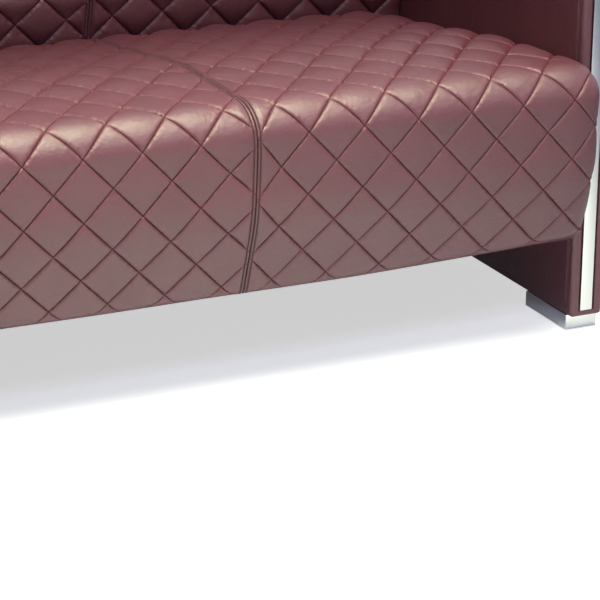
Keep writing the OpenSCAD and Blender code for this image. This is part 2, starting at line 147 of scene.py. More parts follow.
class ArmSettings(bpy.types.PropertyGroup):
    edge: bpy.props.FloatProperty(
        name="Edge radius", description="Radius of the long edges of an arm", default=0.006, unit="LENGTH")
    corner: bpy.props.FloatProperty(
        name="Corner radius", description="Radius of the upper corners of an arm seen from its side",
        default=0.036, unit="LENGTH")
    seam: bpy.props.FloatProperty(
        name="Seam inset", description="Distance of the band's seam from the edge of an arm",
        default=0.015, unit="LENGTH")
    rows: bpy.props.FloatProperty(
        name="Stitch rows", description="Distance of each row of topstitching from the band's seam",
        default=0.0038, unit="LENGTH")
    gap: bpy.props.FloatProperty(
        name="Strip gap", description="Dark gap on each side of the steel strip", default=0.0018,
        unit="LENGTH")
    strip_ease: bpy.props.FloatProperty(
        name="Strip ease", description="How far the strip stays inside its CAD width", default=0.0012,
        unit="LENGTH")
    groove: bpy.props.FloatProperty(
        name="Strip groove", description="Depth of the groove that holds the steel strip",
        default=0.007, unit="LENGTH")
    strip_bevel: bpy.props.FloatProperty(
        name="Strip bevel", description="Bevel along the edges of the steel strip",
        default=0.0006, unit="LENGTH")


class LeatherSettings(bpy.types.PropertyGroup):
    colour: bpy.props.FloatVectorProperty(
        name="Leather", description="Colour of the leather", subtype="COLOR", size=3,
        default=(0.118, 0.031, 0.046), min=0, max=1)
    thread: bpy.props.FloatVectorProperty(
        name="Thread", description="Colour of the sewing thread", subtype="COLOR", size=3,
        default=(0.055, 0.013, 0.017), min=0, max=1)
    topstitch: bpy.props.FloatVectorProperty(
        name="Topstitching", description="Colour of the thread on the arms and the rear panel",
        subtype="COLOR", size=3, default=(0.30, 0.15, 0.16), min=0, max=1)
    roughness: bpy.props.FloatProperty(
        name="Roughness", description="Roughness of the leather's finish", default=0.38, min=0, max=1)


class StitchSettings(bpy.types.PropertyGroup):
    pitch: bpy.props.FloatProperty(
        name="Pitch", description="Distance from one stitch to the next", default=0.0048, unit="LENGTH")
    length: bpy.props.FloatProperty(
        name="Length", description="Length of one stitch", default=0.0036, unit="LENGTH")
    width: bpy.props.FloatProperty(
        name="Width", description="Thickness of the thread", default=0.0011, unit="LENGTH")


class RearSettings(bpy.types.PropertyGroup):
    edge: bpy.props.FloatProperty(
        name="Edge", description="Rounding of the rear panel's edge", default=0.005, unit="LENGTH")
    hem: bpy.props.FloatProperty(
        name="Hem", description="Distance of the hem's stitches from the edge", default=0.011, unit="LENGTH")


class DustClothSettings(bpy.types.PropertyGroup):
    sag: bpy.props.FloatProperty(
        name="Sag", description="How far the cloth hangs down at its middle", default=0.0045, unit="LENGTH")
    thickness: bpy.props.FloatProperty(
        name="Thickness", description="Thickness of the cloth", default=0.0009, unit="LENGTH")
    staple_pitch: bpy.props.FloatProperty(
        name="Staple pitch", description="Distance from one staple to the next", default=0.05, unit="LENGTH")
    staple_inset: bpy.props.FloatProperty(
        name="Staple inset", description="Distance of the staples from the cloth's edge",
        default=0.009, unit="LENGTH")
    staple_length: bpy.props.FloatProperty(
        name="Staple length", description="Width of a staple's crown", default=0.011, unit="LENGTH")
    staple_wire: bpy.props.FloatProperty(
        name="Staple wire", description="Thickness of a staple's wire", default=0.0011, unit="LENGTH")


class StageSettings(bpy.types.PropertyGroup):
    yaw: bpy.props.FloatProperty(
        name="Yaw", description="Turn of the camera to the right of straight ahead",
        default=math.radians(25.209), subtype="ANGLE")
    pitch: bpy.props.FloatProperty(
        name="Pitch", description="How far the camera looks down", default=math.radians(19.761),
        subtype="ANGLE")
    roll: bpy.props.FloatProperty(
        name="Roll", description="Roll of the camera", default=math.radians(0.426), subtype="ANGLE")
    place: bpy.props.FloatVectorProperty(
        name="Place", description="Camera's place from the foot of the seam, at the arm's front plane",
        default=(-1.348, -3.086, 1.346), size=3, subtype="TRANSLATION", unit="LENGTH")
    lens: bpy.props.FloatProperty(
        name="Lens", description="Focal length in millimetres on a 36 mm sensor", default=150.77)


class SofaSettings(bpy.types.PropertyGroup):
    quilt: bpy.props.PointerProperty(type=QuiltSettings)
    arm: bpy.props.PointerProperty(type=ArmSettings)
    leather: bpy.props.PointerProperty(type=LeatherSettings)
    stitch: bpy.props.PointerProperty(type=StitchSettings)
    rear: bpy.props.PointerProperty(type=RearSettings)
    dust: bpy.props.PointerProperty(type=DustClothSettings)
    stage: bpy.props.PointerProperty(type=StageSettings)


def settings():
    return bpy.context.scene.sofa


# Sums


def evenly(low, high, count):
    """Numbers from low to high in that many equal steps."""
    return [low + (high - low) * i / count for i in range(count + 1)]


def smooth_step(t):
    """0 up to t = 0, 1 from t = 1, and a smooth rise between."""
    t = np.clip(t, 0, 1)
    return t * t * (3 - 2 * t)


def ramp(value, start, over):
    """0 up to the start, 1 once the value is past it by over, and a smooth rise between."""
    return smooth_step((value - start) / over)


def bell(distance, width, height=1.0):
    """A hump of that height at no distance, which falls away over the width."""
    return height * np.exp(-(distance / width) ** 2)


def scatter(i, j):
    """A fixed number from 0 to 1 for each whole pair i, j."""
    value = np.sin(12.9898 * i + 78.233 * j) * 43758.5453
    return value - np.floor(value)


# Outlines seen from the side


def corner_arc(before, corner, after, radius, steps=10):
    """Points of the arc of that radius that rounds a corner."""
    u = (before - corner).normalized()
    v = (after - corner).normalized()
    half = u.angle(v) / 2
    centre = corner + (u + v).normalized() * radius / math.sin(half)
    start = corner + u * radius / math.tan(half) - centre
    sweep = math.pi - 2 * half
    if u.x * v.y - u.y * v.x > 0:
        sweep = -sweep
    return [centre + start @ Matrix.Rotation(-sweep * i / steps, 2) for i in range(steps + 1)]


def rounded_outline(corners):
    """A closed outline of ((y, z), radius) corners, as an array of points."""
    points = []
    for i, (corner, radius) in enumerate(corners):
        before = Vector(corners[i - 1][0])
        after = Vector(corners[(i + 1) % len(corners)][0])
        points += corner_arc(before, Vector(corner), after, radius) if radius else [Vector(corner)]
    return np.array([tuple(p) for p in points])


class Outline:
    """A closed outline walked by its length, clockwise as seen from +X with the front on the left."""

    def __init__(self, corners):
        points = rounded_outline(corners)
        self.points = np.vstack([points, points[:1]])
        steps = np.linalg.norm(np.diff(self.points, axis=0), axis=1)
        self.lengths = np.concatenate([[0], np.cumsum(steps)])
        self.total = self.lengths[-1]
        heading = np.diff(self.points, axis=0) / steps[:, None]
        corner = heading + np.roll(heading, 1, axis=0)
        corner /= np.linalg.norm(corner, axis=1)[:, None]
        self.headings = np.vstack([corner, corner[:1]])

    def at(self, s):
        """Points and outward normals at the lengths s."""
        s = np.mod(s, self.total)
        y = np.interp(s, self.lengths, self.points[:, 0])
        z = np.interp(s, self.lengths, self.points[:, 1])
        hy = np.interp(s, self.lengths, self.headings[:, 0])
        hz = np.interp(s, self.lengths, self.headings[:, 1])
        size = np.hypot(hy, hz)
        return np.stack([y, z], -1), np.stack([-hz / size, hy / size], -1)

    def length_at(self, point):
        """Length of the place on the outline nearest to a point."""
        s = np.linspace(0, self.total, 4000, endpoint=False)
        here, _ = self.at(s)
        return s[np.argmin(np.hypot(here[:, 0] - point[0], here[:, 1] - point[1]))]


# The seat's corners: distance ahead of the arm's front or behind it, height or drop below the
# crown, and the radius that rounds them
FOOT_AHEAD, FOOT_R = 0.036, 0.018
BELLY_AHEAD, BELLY_Z, BELLY_R = 0.072, 0.275, 0.240
NOSE_DROP, NOSE_R = 0.004, 0.052
CREST_BEHIND, CREST_R = 0.190, 0.9
SEAT_REAR_DROP, SEAT_REAR_R = 0.044, 0.020


def seat_outline():
    """The seat from its foot up over the nose, along the top and down behind."""
    base, crown = SEAT_LO.z, SEAT_HI.z
    middle = (SEAT_LO.y + SEAT_HI.y) / 2
    return Outline([
        ((middle, base), 0),
        ((ARM_FRONT - FOOT_AHEAD, base), FOOT_R),
        ((ARM_FRONT - BELLY_AHEAD, BELLY_Z), BELLY_R),
        ((SEAT_LO.y, crown - NOSE_DROP), NOSE_R),
        ((ARM_FRONT + CREST_BEHIND, crown), CREST_R),
        ((SEAT_HI.y, crown - SEAT_REAR_DROP), SEAT_REAR_R),
        ((SEAT_HI.y, base), 0)])


# The back's corners, likewise, and its gap behind the seat and around the rear panel
BACK_GAP = 0.004
TUCK_Z, TUCK_R = 0.380, 0.014
LUMBAR_OUT, LUMBAR_Z, LUMBAR_R = 0.020, 0.455, 0.060
RAKE, BACK_TOP_R, BACK_REAR_R = 0.050, 0.042, 0.028
PANEL_CLEAR = 0.0003


def back_outline():
    """The back from its foot up its front, over the top and down behind to the rear panel's step."""
    base, top = BACK_LO.z, BACK_HI.z
    front = SEAT_HI.y + BACK_GAP
    lumbar = front - LUMBAR_OUT
    middle = (front + BACK_HI.y) / 2
    step = PANEL_LO.y - PANEL_CLEAR
    seam = PANEL_HI.z + PANEL_CLEAR
    return Outline([
        ((middle, base), 0),
        ((front, base), 0),
        ((front, TUCK_Z), TUCK_R),
        ((lumbar, LUMBAR_Z), LUMBAR_R),
        ((lumbar + RAKE, top), BACK_TOP_R),
        ((BACK_HI.y, top), BACK_REAR_R),
        ((BACK_HI.y, seam), 0),
        ((step, seam), 0),
        ((step, base), 0)])


# Quilted panels


class Quilt:
    """The stitched lattice of one part of the sofa, laid along an outline."""

    def __init__(self, outline, anchor, low_step, high_step, first, last, low_puff, plump=1.0, foot=None):
        self.outline = outline
        self.anchor = anchor
        self.low_step = low_step
        self.high_step = high_step
        self.first = first
        self.last = last
        self.low_puff = low_puff
        self.plump = plump
        self.foot = foot
        self.diamond = settings().quilt.diamond

    def length(self, row):
        """Length along the outline of a row number; row 0 is at the anchor."""
        return self.anchor + np.where(row < 0, row * self.low_step, row * self.high_step)

    def row(self, length):
        """Row number of a length along the outline."""
        d = length - self.anchor
        return d / self.low_step if d < 0 else d / self.high_step


def line_spacing(step):
    """Distance between parallel lines of stitching whose rows of crossings are a step apart."""
    diamond = settings().quilt.diamond
    return diamond * 2 * step / math.hypot(diamond, 2 * step)


def warp(t, tightness=0.85):
    """Draws the steps in the middle of each whole number apart and those at its ends together."""
    return t - tightness * np.sin(2 * np.pi * t) / (2 * np.pi)


def flat_lattice(panel, cuts):
    """A flat mesh in (x, row), its edges along the lines of the quilting, trimmed to the panel."""
    quilt = panel.quilt
    n = settings().quilt.cells
    w = quilt.diamond
    reach = max(abs(panel.x0), abs(panel.x1)) * 2 / w + max(abs(quilt.first), abs(quilt.last)) + 4
    top = int(math.ceil(reach / 2)) + 1
    t = warp(np.arange(-top * n, top * n + 1) / n)
    a, b = np.meshgrid(t, t, indexing="ij")
    x = w * (a + b) / 2 + panel.origin
    r = a - b
    margin = 0.3
    keep = (x > panel.x0 - margin * w) & (x < panel.x1 + margin * w)
    keep &= (r > quilt.first - margin) & (r < quilt.last + margin)
    number = -np.ones(keep.shape, dtype=int)
    number[keep] = np.arange(keep.sum())
    quads = np.stack([number[:-1, :-1], number[:-1, 1:], number[1:, 1:], number[1:, :-1]], -1).reshape(-1, 4)
    quads = quads[(quads >= 0).all(1)]
    mesh = bpy.data.meshes.new("lattice")
    mesh.from_pydata(np.stack([x[keep], r[keep], np.zeros(keep.sum())], -1).tolist(), [], quads.tolist())
    bm = bmesh.new()
    bm.from_mesh(mesh)
    bpy.data.meshes.remove(mesh)

    def cut(point, normal, clear):
        geometry = bm.verts[:] + bm.edges[:] + bm.faces[:]
        bmesh.ops.bisect_plane(bm, geom=geometry, dist=TOUCH, plane_co=point, plane_no=normal,
                               clear_outer=clear)

    cut((panel.x0, 0, 0), (-1, 0, 0), True)
    cut((panel.x1, 0, 0), (1, 0, 0), True)
    cut((0, quilt.first, 0), (0, -1, 0), True)
    cut((0, quilt.last, 0), (0, 1, 0), True)
    for x in cuts:
        cut((x, 0, 0), (1, 0, 0), False)
    return bm


# Corners of the outline this near to the quilting's first or last row are passed over, and points
# this near to a row, in rows, lie on it
CORNER_CLEAR = 0.002
ON_ROW = 1e-5


def close_round(bm, quilt):
    """Carries the sheet on round the outline from its last row to its first, and returns its last edge."""
    outline = quilt.outline
    start = quilt.length(quilt.first) + outline.total
    end = quilt.length(quilt.last)
    corners = [s for lap in (0, 1) for s in outline.lengths + lap * outline.total]
    rest = sorted({round(s, 5) for s in corners if end + CORNER_CLEAR < s < start - CORNER_CLEAR})
    edges = [e for e in bm.edges if e.is_boundary and all(abs(v.co.y - quilt.last) < ON_ROW for v in e.verts)]
    for s in [*rest, start]:
        made = bmesh.ops.extrude_edge_only(bm, edges=edges)["geom"]
        edges = [g for g in made if isinstance(g, bmesh.types.BMEdge)]
        for v in {v for e in edges for v in e.verts}:
            v.co.y = quilt.row(s)
    return {v for e in edges for v in e.verts}


# How full the diamonds are: the spread from one to the next, and the rows over which they fill
# out towards the top; at the nose they are thinned over a few rows around one
PAD_SPREAD = 0.28
FRONT_ROWS = (-1, 3)
TOP_ROWS = (1.8, 2)
NOSE_ROW, NOSE_ROWS, NOSE_THIN = 0.4, 1.6, 0.34


def quilt_depth(panel, x, r):
    """How far the leather lies below the tops of the diamonds."""
    q = settings().quilt
    quilt = panel.quilt
    a, b = panel.lattice(x, r)
    half = line_spacing(quilt.high_step) / 2
    ta = 2 * np.abs(a - np.round(a))
    tb = 2 * np.abs(b - np.round(b))
    fold = (1 - np.exp(-ta * half / q.crease_reach)) * (1 - np.exp(-tb * half / q.crease_reach))
    pad = (1 - (1 - ta) ** q.fullness) * (1 - (1 - tb) ** q.fullness)
    full = quilt.low_puff + (1 - quilt.low_puff) * ramp(r, *FRONT_ROWS)
    full = full * (1 - PAD_SPREAD / 2 + PAD_SPREAD * scatter(np.floor(a), np.floor(b)))
    if quilt.foot is not None:
        full = full * (1 - bell(r - NOSE_ROW, NOSE_ROWS, NOSE_THIN)) * (1 + q.top_full * ramp(r, *TOP_ROWS))
    return q.crease * (1 - fold) + q.puff * quilt.plump * full * (1 - pad)


# Waves of the foam: radians per metre across and along, and where each starts
WAVES = ((9.1, 4.7, 1.3), (-5.3, 11.9, 0.0), (17.2, -7.7, 0.0))


def waver(x, s):
    """Slow unevenness of the foam under the leather, from -1 to 1."""
    return sum(np.sin(across * x + along * s + start) for across, along, start in WAVES) / len(WAVES)


# Width and depth of the dips along a seam and along its rows of stitches
SEAM_PINCH = (0.0009, 0.0022)
ROW_PINCH = (0.0009, 0.0015)


def seam_dip(e):
    """How far the leather is pulled in at a distance e from a seam, and along its row of stitches."""
    return bell(e, *SEAM_PINCH) + bell(e - settings().quilt.seam_rows, *ROW_PINCH)


def end_drop(e, drop, reach):
    """How far the padding falls away towards an arm, at a distance e from its end."""
    t = np.clip(1 - e / reach, 0, 1)
    return drop * (1 - np.sqrt(np.clip(1 - t * t, 0, 1)))


# Distances from a seam or an end at which a panel has an extra line of points
SEAM_LINES = (0.0004, 0.0008, 0.0014, 0.0024, 0.0034, 0.0041, 0.0048, 0.0055, 0.0064, 0.0080, 0.0110, 0.0150)
END_LINES = (0.0004, 0.0016, 0.0036, 0.0064, 0.0100, 0.0145, 0.0200, 0.0270, 0.0350)

# How far each panel stays back from the seam's middle
PANEL_GAP = 0.0001

# The rows over which the quilting gives way to plain leather, how far that lies in, and how deep
# the foam's unevenness is
PLAIN_ROWS = 0.6
PLAIN_DEPTH = 0.003
WAVER_DEPTH = 0.0008

# Width of the painted shade along a seam, and of the flat band there
PAINTED_SHADE_WIDTH = 0.0012
BAND_WIDTH = 0.0105

# Where the seat's leather moves, as (start, over): distances ahead of the sofa's middle for the
# lower edge and the seams, places along y for the falls, and heights for the top
FREE_OF_RAIL = (0.343, 0.042)
BOW_AHEAD = (0.30, 0.06)
FALL_Y = (-0.24, 0.42)
END_FALL_Y = (-0.37, 0.30)
REAR_EASE_Y = (0, 0.2)
TOP_Z = (0.30, 0.05)

# The height over which the rise of the lower edge dies out, and the share by which the fall
# beside the arms eases off again at the rear
FOOT_BAND = 0.018
REAR_EASE = 0.25

# A seam's bow: its reach to either side, the power that sets how high it is widest, and what
# brings its widest place to 1
BOW_REACH = 0.03
BOW_POWER = 8
BOW_SCALE = 1.48


class Panel:
    """One sewn panel of a quilt, with what lies at each of its two sides."""

    def __init__(self, quilt, edges, origin, end_sides, drop, reach):
        self.quilt = quilt
        self.x0 = edges[0] + PANEL_GAP
        self.x1 = edges[1] - PANEL_GAP
        self.sides = ((-1, self.x0), (1, self.x1))
        self.ends = [(side, edge) for side, edge in self.sides if side in end_sides]
        self.seams = [(side, edge) for side, edge in self.sides if side not in end_sides]
        self.origin = origin
        self.drop = drop
        self.reach = reach

    def lattice(self, x, r):
        """Numbers of the two families of stitched lines; whole numbers lie on a line."""
        across = 2 * (x - self.origin) / self.quilt.diamond
        return (across + r) / 2, (across - r) / 2

    def quilted(self, r):
        """1 where the panel is quilted and 0 on its plain rest."""
        return ramp(r, self.quilt.first, PLAIN_ROWS) * ramp(-r, -self.quilt.last, PLAIN_ROWS)

    def painted_seam_shade(self, x):
        """Painted shade along a seam and its rows of topstitching: how near a place is to them, from 0 to 1.
        """
        rows = settings().quilt.seam_rows
        shade = np.zeros(len(x))
        for _, edge in self.seams:
            e = np.abs(edge - x)
            shade = np.maximum(shade, np.maximum(bell(e, PAINTED_SHADE_WIDTH), bell(e - rows, PAINTED_SHADE_WIDTH)))
        return shade

    def depth(self, x, r, s):
        """How far the leather lies inside the outline."""
        share = self.quilted(r)
        inward = quilt_depth(self, x, r) * share + PLAIN_DEPTH * (1 - share)
        inward = inward + WAVER_DEPTH * (1 + waver(x, s))
        for _, edge in self.ends:
            inward = inward + end_drop(np.abs(edge - x), self.drop, self.reach)
        for _, edge in self.seams:
            e = np.abs(edge - x)
            quiet = np.exp(-(e / BAND_WIDTH) ** 4)
            inward = inward * (1 - quiet) + quiet * settings().quilt.seam_depth + seam_dip(e)
        return inward

    def foot_rise(self, x, yz):
        """How far the seat's lower edge rises towards the arms, where it hangs free of the rail."""
        q = settings().quilt
        low = bell(yz[:, 1] - self.quilt.foot, FOOT_BAND) * ramp(-yz[:, 0], *FREE_OF_RAIL)
        near = sum(np.clip(1 - np.abs(edge - x) / q.foot_reach, 0, 1) ** 1.5 for _, edge in self.ends)
        return q.foot_lift * near * low

    def top_fall(self, x, yz):
        """How far the seat's top falls towards the back, and more so beside the arms."""
        q = settings().quilt
        y, z = yz[:, 0], yz[:, 1]
        beside = q.rear_end_fall * ramp(y, *END_FALL_Y) * (1 - REAR_EASE * ramp(y, *REAR_EASE_Y))
        near = sum(np.clip(1 - np.abs(edge - x) / q.rear_end_reach, 0, 1) ** 2 for _, edge in self.ends)
        return ramp(z, *TOP_Z) * (q.rear_fall * ramp(y, *FALL_Y) + beside * near)

    def seam_bow(self, x, yz):
        """How far slack leather swings the seams of the seat's front towards the right."""
        t = np.clip((yz[:, 1] - self.quilt.foot) / (SEAT_HI.z - self.quilt.foot), 0, 1)
        swing = settings().quilt.seam_bow * BOW_SCALE * t * (1 - t ** BOW_POWER) * ramp(-yz[:, 0], *BOW_AHEAD)
        near = np.zeros(len(x))
        for _, edge in self.seams:
            near = np.maximum(near, bell(edge - x, BOW_REACH))
        return swing * near

    def place(self, x, r, proud=0.0):
        """Points in space of flat places on the panel, raised by proud."""
        s = self.quilt.length(r)
        yz, normal = self.quilt.outline.at(s)
        yz = yz - normal * (self.depth(x, r, s) - proud)[:, None]
        if self.quilt.foot is not None:
            yz[:, 1] += self.foot_rise(x, yz)
            yz[:, 1] -= self.top_fall(x, yz)
            x = x + self.seam_bow(x, yz)
        return np.column_stack([x, yz])


# Rim points nearer than this become one, and faces of more sides than this become triangles
RIM_TOUCH = 2e-5
MOST_SIDES = 6


def panel_mesh(name, panel):
    """The closed leather case of one panel."""
    quilt = panel.quilt
    cuts = []
    for side, edge in panel.sides:
        extra = SEAM_LINES if (side, edge) in panel.seams else END_LINES
        cuts += [edge - side * e for e in extra]
    bm = flat_lattice(panel, cuts)
    uv = bm.loops.layers.uv.new("quilting")
    sewn_layer = bm.verts.layers.float.new("sewn")
    # A layer of painted shade along the seams and their rows of stitches, which the leather's material reads
    painted_shade_layer = bm.verts.layers.float.new("seam")
    rim = close_round(bm, quilt) | {v for v in bm.verts if v.is_boundary}
    flat = np.array([v.co[:] for v in bm.verts])
    x, r = flat[:, 0], flat[:, 1]
    a, b = panel.lattice(x, r)
    for v, point, sewn, shade in zip(bm.verts, panel.place(x, r), panel.quilted(r), panel.painted_seam_shade(x)):
        v.co = point
        v[sewn_layer] = sewn
        v[painted_shade_layer] = shade
    for face in bm.faces:
        for loop in face.loops:
            i = loop.vert.index
            loop[uv].uv = (a[i], b[i])
    bmesh.ops.remove_doubles(bm, verts=list(rim), dist=RIM_TOUCH)
    bmesh.ops.holes_fill(bm, edges=[e for e in bm.edges if e.is_boundary], sides=0)
    bmesh.ops.triangulate(bm, faces=[f for f in bm.faces if len(f.verts) > MOST_SIDES])
    bmesh.ops.recalc_face_normals(bm, faces=bm.faces)
    open_underside(bm, *dust_cloth_boxes()[0 if quilt.foot is not None else 1])
    mesh = bpy.data.meshes.new(name)
    bm.to_mesh(mesh)
    bm.free()
    mesh.shade_smooth()
    return mesh


# The leather's flat underside above the seat's foot, the gap round a dust cloth's opening, the
# turned fold beside it, and how far up the turned leather goes above the cloth
FLAT_LIFT = 0.0024
CLOTH_GAP = 0.0005
CLOTH_FOLD = 0.0004
TURN_UP = 0.0035

# What counts as underside: faces that look down, not far above the cloth, and no further forward
# than this ahead of the line where the flat part starts
DOWNWARD = -0.15
CEILING = 0.010
FORWARD = 0.03
FLAT_AHEAD = 0.0005
LINE_SLACK = 0.0001


def open_underside(bm, low, high):
    """Lays the leather flat below the rails and turns it up around the opening that a dust cloth closes."""
    front = ARM_FRONT - FLAT_AHEAD

    def underside():
        found = []
        for face in [f for f in bm.faces if f.normal.z < DOWNWARD]:
            centre = face.calc_center_median()
            if centre.z < high.z + CEILING and centre.y > front - FORWARD:
                found.append(face)
        return found

    cuts = [(1, front)]
    for axis in (0, 1):
        cuts += [(axis, low[axis] - CLOTH_GAP), (axis, low[axis] - CLOTH_GAP + CLOTH_FOLD),
                 (axis, high[axis] + CLOTH_GAP), (axis, high[axis] + CLOTH_GAP - CLOTH_FOLD)]
    for axis, place in cuts:
        faces = underside()
        parts = set(faces)
        for face in faces:
            parts.update(face.edges)
            parts.update(face.verts)
        spot, way = Vector(), Vector()
        spot[axis], way[axis] = place, 1
        bmesh.ops.bisect_plane(bm, geom=list(parts), dist=TOUCH, plane_co=spot, plane_no=way)
    reach = CLOTH_GAP - CLOTH_FOLD / 2
    for v in {v for f in underside() for v in f.verts}:
        if v.co.y > front - LINE_SLACK:
            opened = all(low[i] - reach < v.co[i] < high[i] + reach for i in (0, 1))
            v.co.z = high.z + TURN_UP if opened else min(v.co.z, SEAT_LO.z + FLAT_LIFT)


# Points of a stitched path: their step in rows, how clear they stay of the quilting's first and
# last rows, of a seam's rows of stitches and of an end, and how proud of the leather they lie
PATH_STEP = 0.05
LINE_ROWS_CLEAR = 0.15
SEAM_ROWS_CLEAR = 0.1
ROWS_CLEAR = 0.0035
END_CLEAR = 0.004
PROUD = 0.0002
LEAST_POINTS = 4


def line_points(panel, family, number):
    """Flat places along one stitched line of a panel, clear of its seams and ends."""
    quilt = panel.quilt
    r = np.arange(quilt.first + LINE_ROWS_CLEAR, quilt.last - LINE_ROWS_CLEAR, PATH_STEP)
    other = number - r if family == 0 else number + r
    x = quilt.diamond * (number + other) / 2 + panel.origin
    inside = np.ones(len(x), dtype=bool)
    for side, edge in panel.sides:
        seam = (side, edge) in panel.seams
        clear = settings().quilt.seam_rows + ROWS_CLEAR if seam else END_CLEAR
        inside &= side * x < side * edge - clear
    return x[inside], r[inside]


def quilting_lines(panel):
    """Every stitched line of a panel, as arrays of points in space."""
    reach = max(abs(panel.x0), abs(panel.x1)) * 2 / panel.quilt.diamond
    top = int(math.ceil((reach + abs(panel.quilt.first) + panel.quilt.last) / 2)) + 1
    lines = []
    for family in (0, 1):
        for number in range(-top, top + 1):
            x, r = line_points(panel, family, number)
            if len(x) >= LEAST_POINTS:
                lines.append(panel.place(x, r, PROUD))
    return lines


def seam_lines(panel):
    """The rows of topstitching beside a panel's seams."""
    quilt = panel.quilt
    rows = settings().quilt.seam_rows
    r = np.arange(quilt.first + SEAM_ROWS_CLEAR, quilt.last - SEAM_ROWS_CLEAR, PATH_STEP)
    return [panel.place(np.full(len(r), edge - side * rows), r, PROUD) for side, edge in panel.seams]


# Pieces


def add_object(name, mesh, material=None):
    """A new object of the mesh, of one material."""
    piece = bpy.data.objects.new(name, mesh)
    bpy.context.scene.collection.objects.link(piece)
    if material:
        mesh.materials.clear()
        mesh.materials.append(material)
    return piece


def finish_piece(piece, nodes=()):
    """Says what a piece rides on, and hides the nodes it replaces."""
    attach(piece, BODY)
    if nodes:
        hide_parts(*nodes)
    return piece


def smooth_mesh(name, bm, sharp):
    """A mesh with smooth faces, and edges kept sharp above that angle in degrees."""
    for face in bm.faces:
        face.smooth = True
    for edge in bm.edges:
        edge.smooth = len(edge.link_faces) != 2 or edge.calc_face_angle(0) < math.radians(sharp)
    mesh = bpy.data.meshes.new(name)
    bm.to_mesh(mesh)
    bm.free()
    return mesh


def span_columns(bm, columns):
    """Faces between each column of vertices and the next."""
    for near, far in zip(columns, columns[1:]):
        for i in range(len(near) - 1):
            bm.faces.new((near[i], near[i + 1], far[i + 1], far[i]))


# Nodes


def feed(tree, node, values):
    """Sets a node's inputs to values, or joins them to the sockets given in their place."""
    for key, value in values.items():
        if isinstance(value, bpy.types.NodeSocket):
            tree.links.new(value, node.inputs[key])
        else:
            node.inputs[key].default_value = value


def new_node(tree, kind, values=None, **options):
    """A node with those options, its inputs set to the values or joined to the sockets given."""
    node = tree.nodes.new(kind)
    for key, value in options.items():
        setattr(node, key, value)
    feed(tree, node, values or {})
    return node


# Stitches and staples, laid along paths by geometry nodes


def path_mesh(name, lines):
    """A mesh of open chains of edges."""
    points, edges = [], []
    for line in lines:
        start = len(points)
        points += [tuple(p) for p in line]
        edges += [(i, i + 1) for i in range(start, len(points) - 1)]
    mesh = bpy.data.meshes.new(name)
    mesh.from_pydata(points, edges, [])
    return mesh


def along_path_tree(name, shape):
    """A node tree that sets one shape at even steps along the edges of a mesh."""
    tree = bpy.data.node_groups.new(name, "GeometryNodeTree")
    face = tree.interface
    face.new_socket("Paths", in_out="INPUT", socket_type="NodeSocketGeometry")
    for label in ("Pitch", "Length", "Width"):
        socket = face.new_socket(label, in_out="INPUT", socket_type="NodeSocketFloat")
        socket.subtype = "DISTANCE"
    face.new_socket("Material", in_out="INPUT", socket_type="NodeSocketMaterial")
    face.new_socket("Pieces", in_out="OUTPUT", socket_type="NodeSocketGeometry")
    start = new_node(tree, "NodeGroupInput").outputs
    curve = new_node(tree, "GeometryNodeMeshToCurve", {"Mesh": start["Paths"]})
    resample = new_node(tree, "GeometryNodeResampleCurve",
                        {"Curve": curve.outputs["Curve"], "Length": start["Pitch"]}, mode="LENGTH")
    tangent = new_node(tree, "GeometryNodeInputTangent")
    align = new_node(tree, "FunctionNodeAlignRotationToVector",
                     {"Vector": tangent.outputs["Tangent"]}, axis="X")
    place = new_node(tree, "GeometryNodeInstanceOnPoints", {
        "Points": resample.outputs["Curve"],
        "Instance": shape(tree, start),
        "Rotation": align.outputs["Rotation"]})
    realize = new_node(tree, "GeometryNodeRealizeInstances", {"Geometry": place.outputs["Instances"]})
    smooth = new_node(tree, "GeometryNodeSetShadeSmooth", {"Geometry": realize.outputs["Geometry"]})
    paint = new_node(tree, "GeometryNodeSetMaterial",
                     {"Geometry": smooth.outputs["Geometry"], "Material": start["Material"]})
    new_node(tree, "NodeGroupOutput", {"Pieces": paint.outputs["Geometry"]})
    return tree


def laid_shape(tree, unit, start):
    """A unit shape that stands along Z, laid along X and brought to its length and width."""
    turn = new_node(tree, "GeometryNodeTransform",
                    {"Geometry": unit.outputs["Mesh"], "Rotation": (0, math.pi / 2, 0)})
    size = new_node(tree, "ShaderNodeCombineXYZ",
                    {"X": start["Length"], "Y": start["Width"], "Z": start["Width"]})
    scale = new_node(tree, "GeometryNodeTransform",
                     {"Geometry": turn.outputs["Geometry"], "Scale": size.outputs["Vector"]})
    return scale.outputs["Geometry"]


def stitch_shape(tree, start):
    """One stitch of thread: a long thin bead along X."""
    bead = new_node(tree, "GeometryNodeMeshUVSphere", {"Segments": 6, "Rings": 4, "Radius": 0.5})
    return laid_shape(tree, bead, start)


def staple_shape(tree, start):
    """The crown of one wire staple, along X."""
    wire = new_node(tree, "GeometryNodeMeshCylinder", {"Vertices": 6, "Radius": 0.5, "Depth": 1.0})
    return laid_shape(tree, wire, start)


TREES = {}


def lay_along(name, lines, shape, pitch, length, width, material):
    """One plain mesh of the shapes laid along the lines."""
    if shape not in TREES:
        TREES[shape] = along_path_tree(shape.__name__, shape)
    tree = TREES[shape]
    paths = add_object(f"{name}_paths", path_mesh(f"{name}_paths", lines))
    layer = paths.modifiers.new("along", "NODES")
    layer.node_group = tree
    values = {"Pitch": pitch, "Length": length, "Width": width, "Material": material}
    for item in tree.interface.items_tree:
        if item.item_type == "SOCKET" and item.in_out == "INPUT" and item.name in values:
            layer[item.identifier] = values[item.name]
    graph = bpy.context.evaluated_depsgraph_get()
    mesh = bpy.data.meshes.new_from_object(paths.evaluated_get(graph), depsgraph=graph)
    mesh.name = name
    bpy.data.objects.remove(paths)
    return add_object(name, mesh)


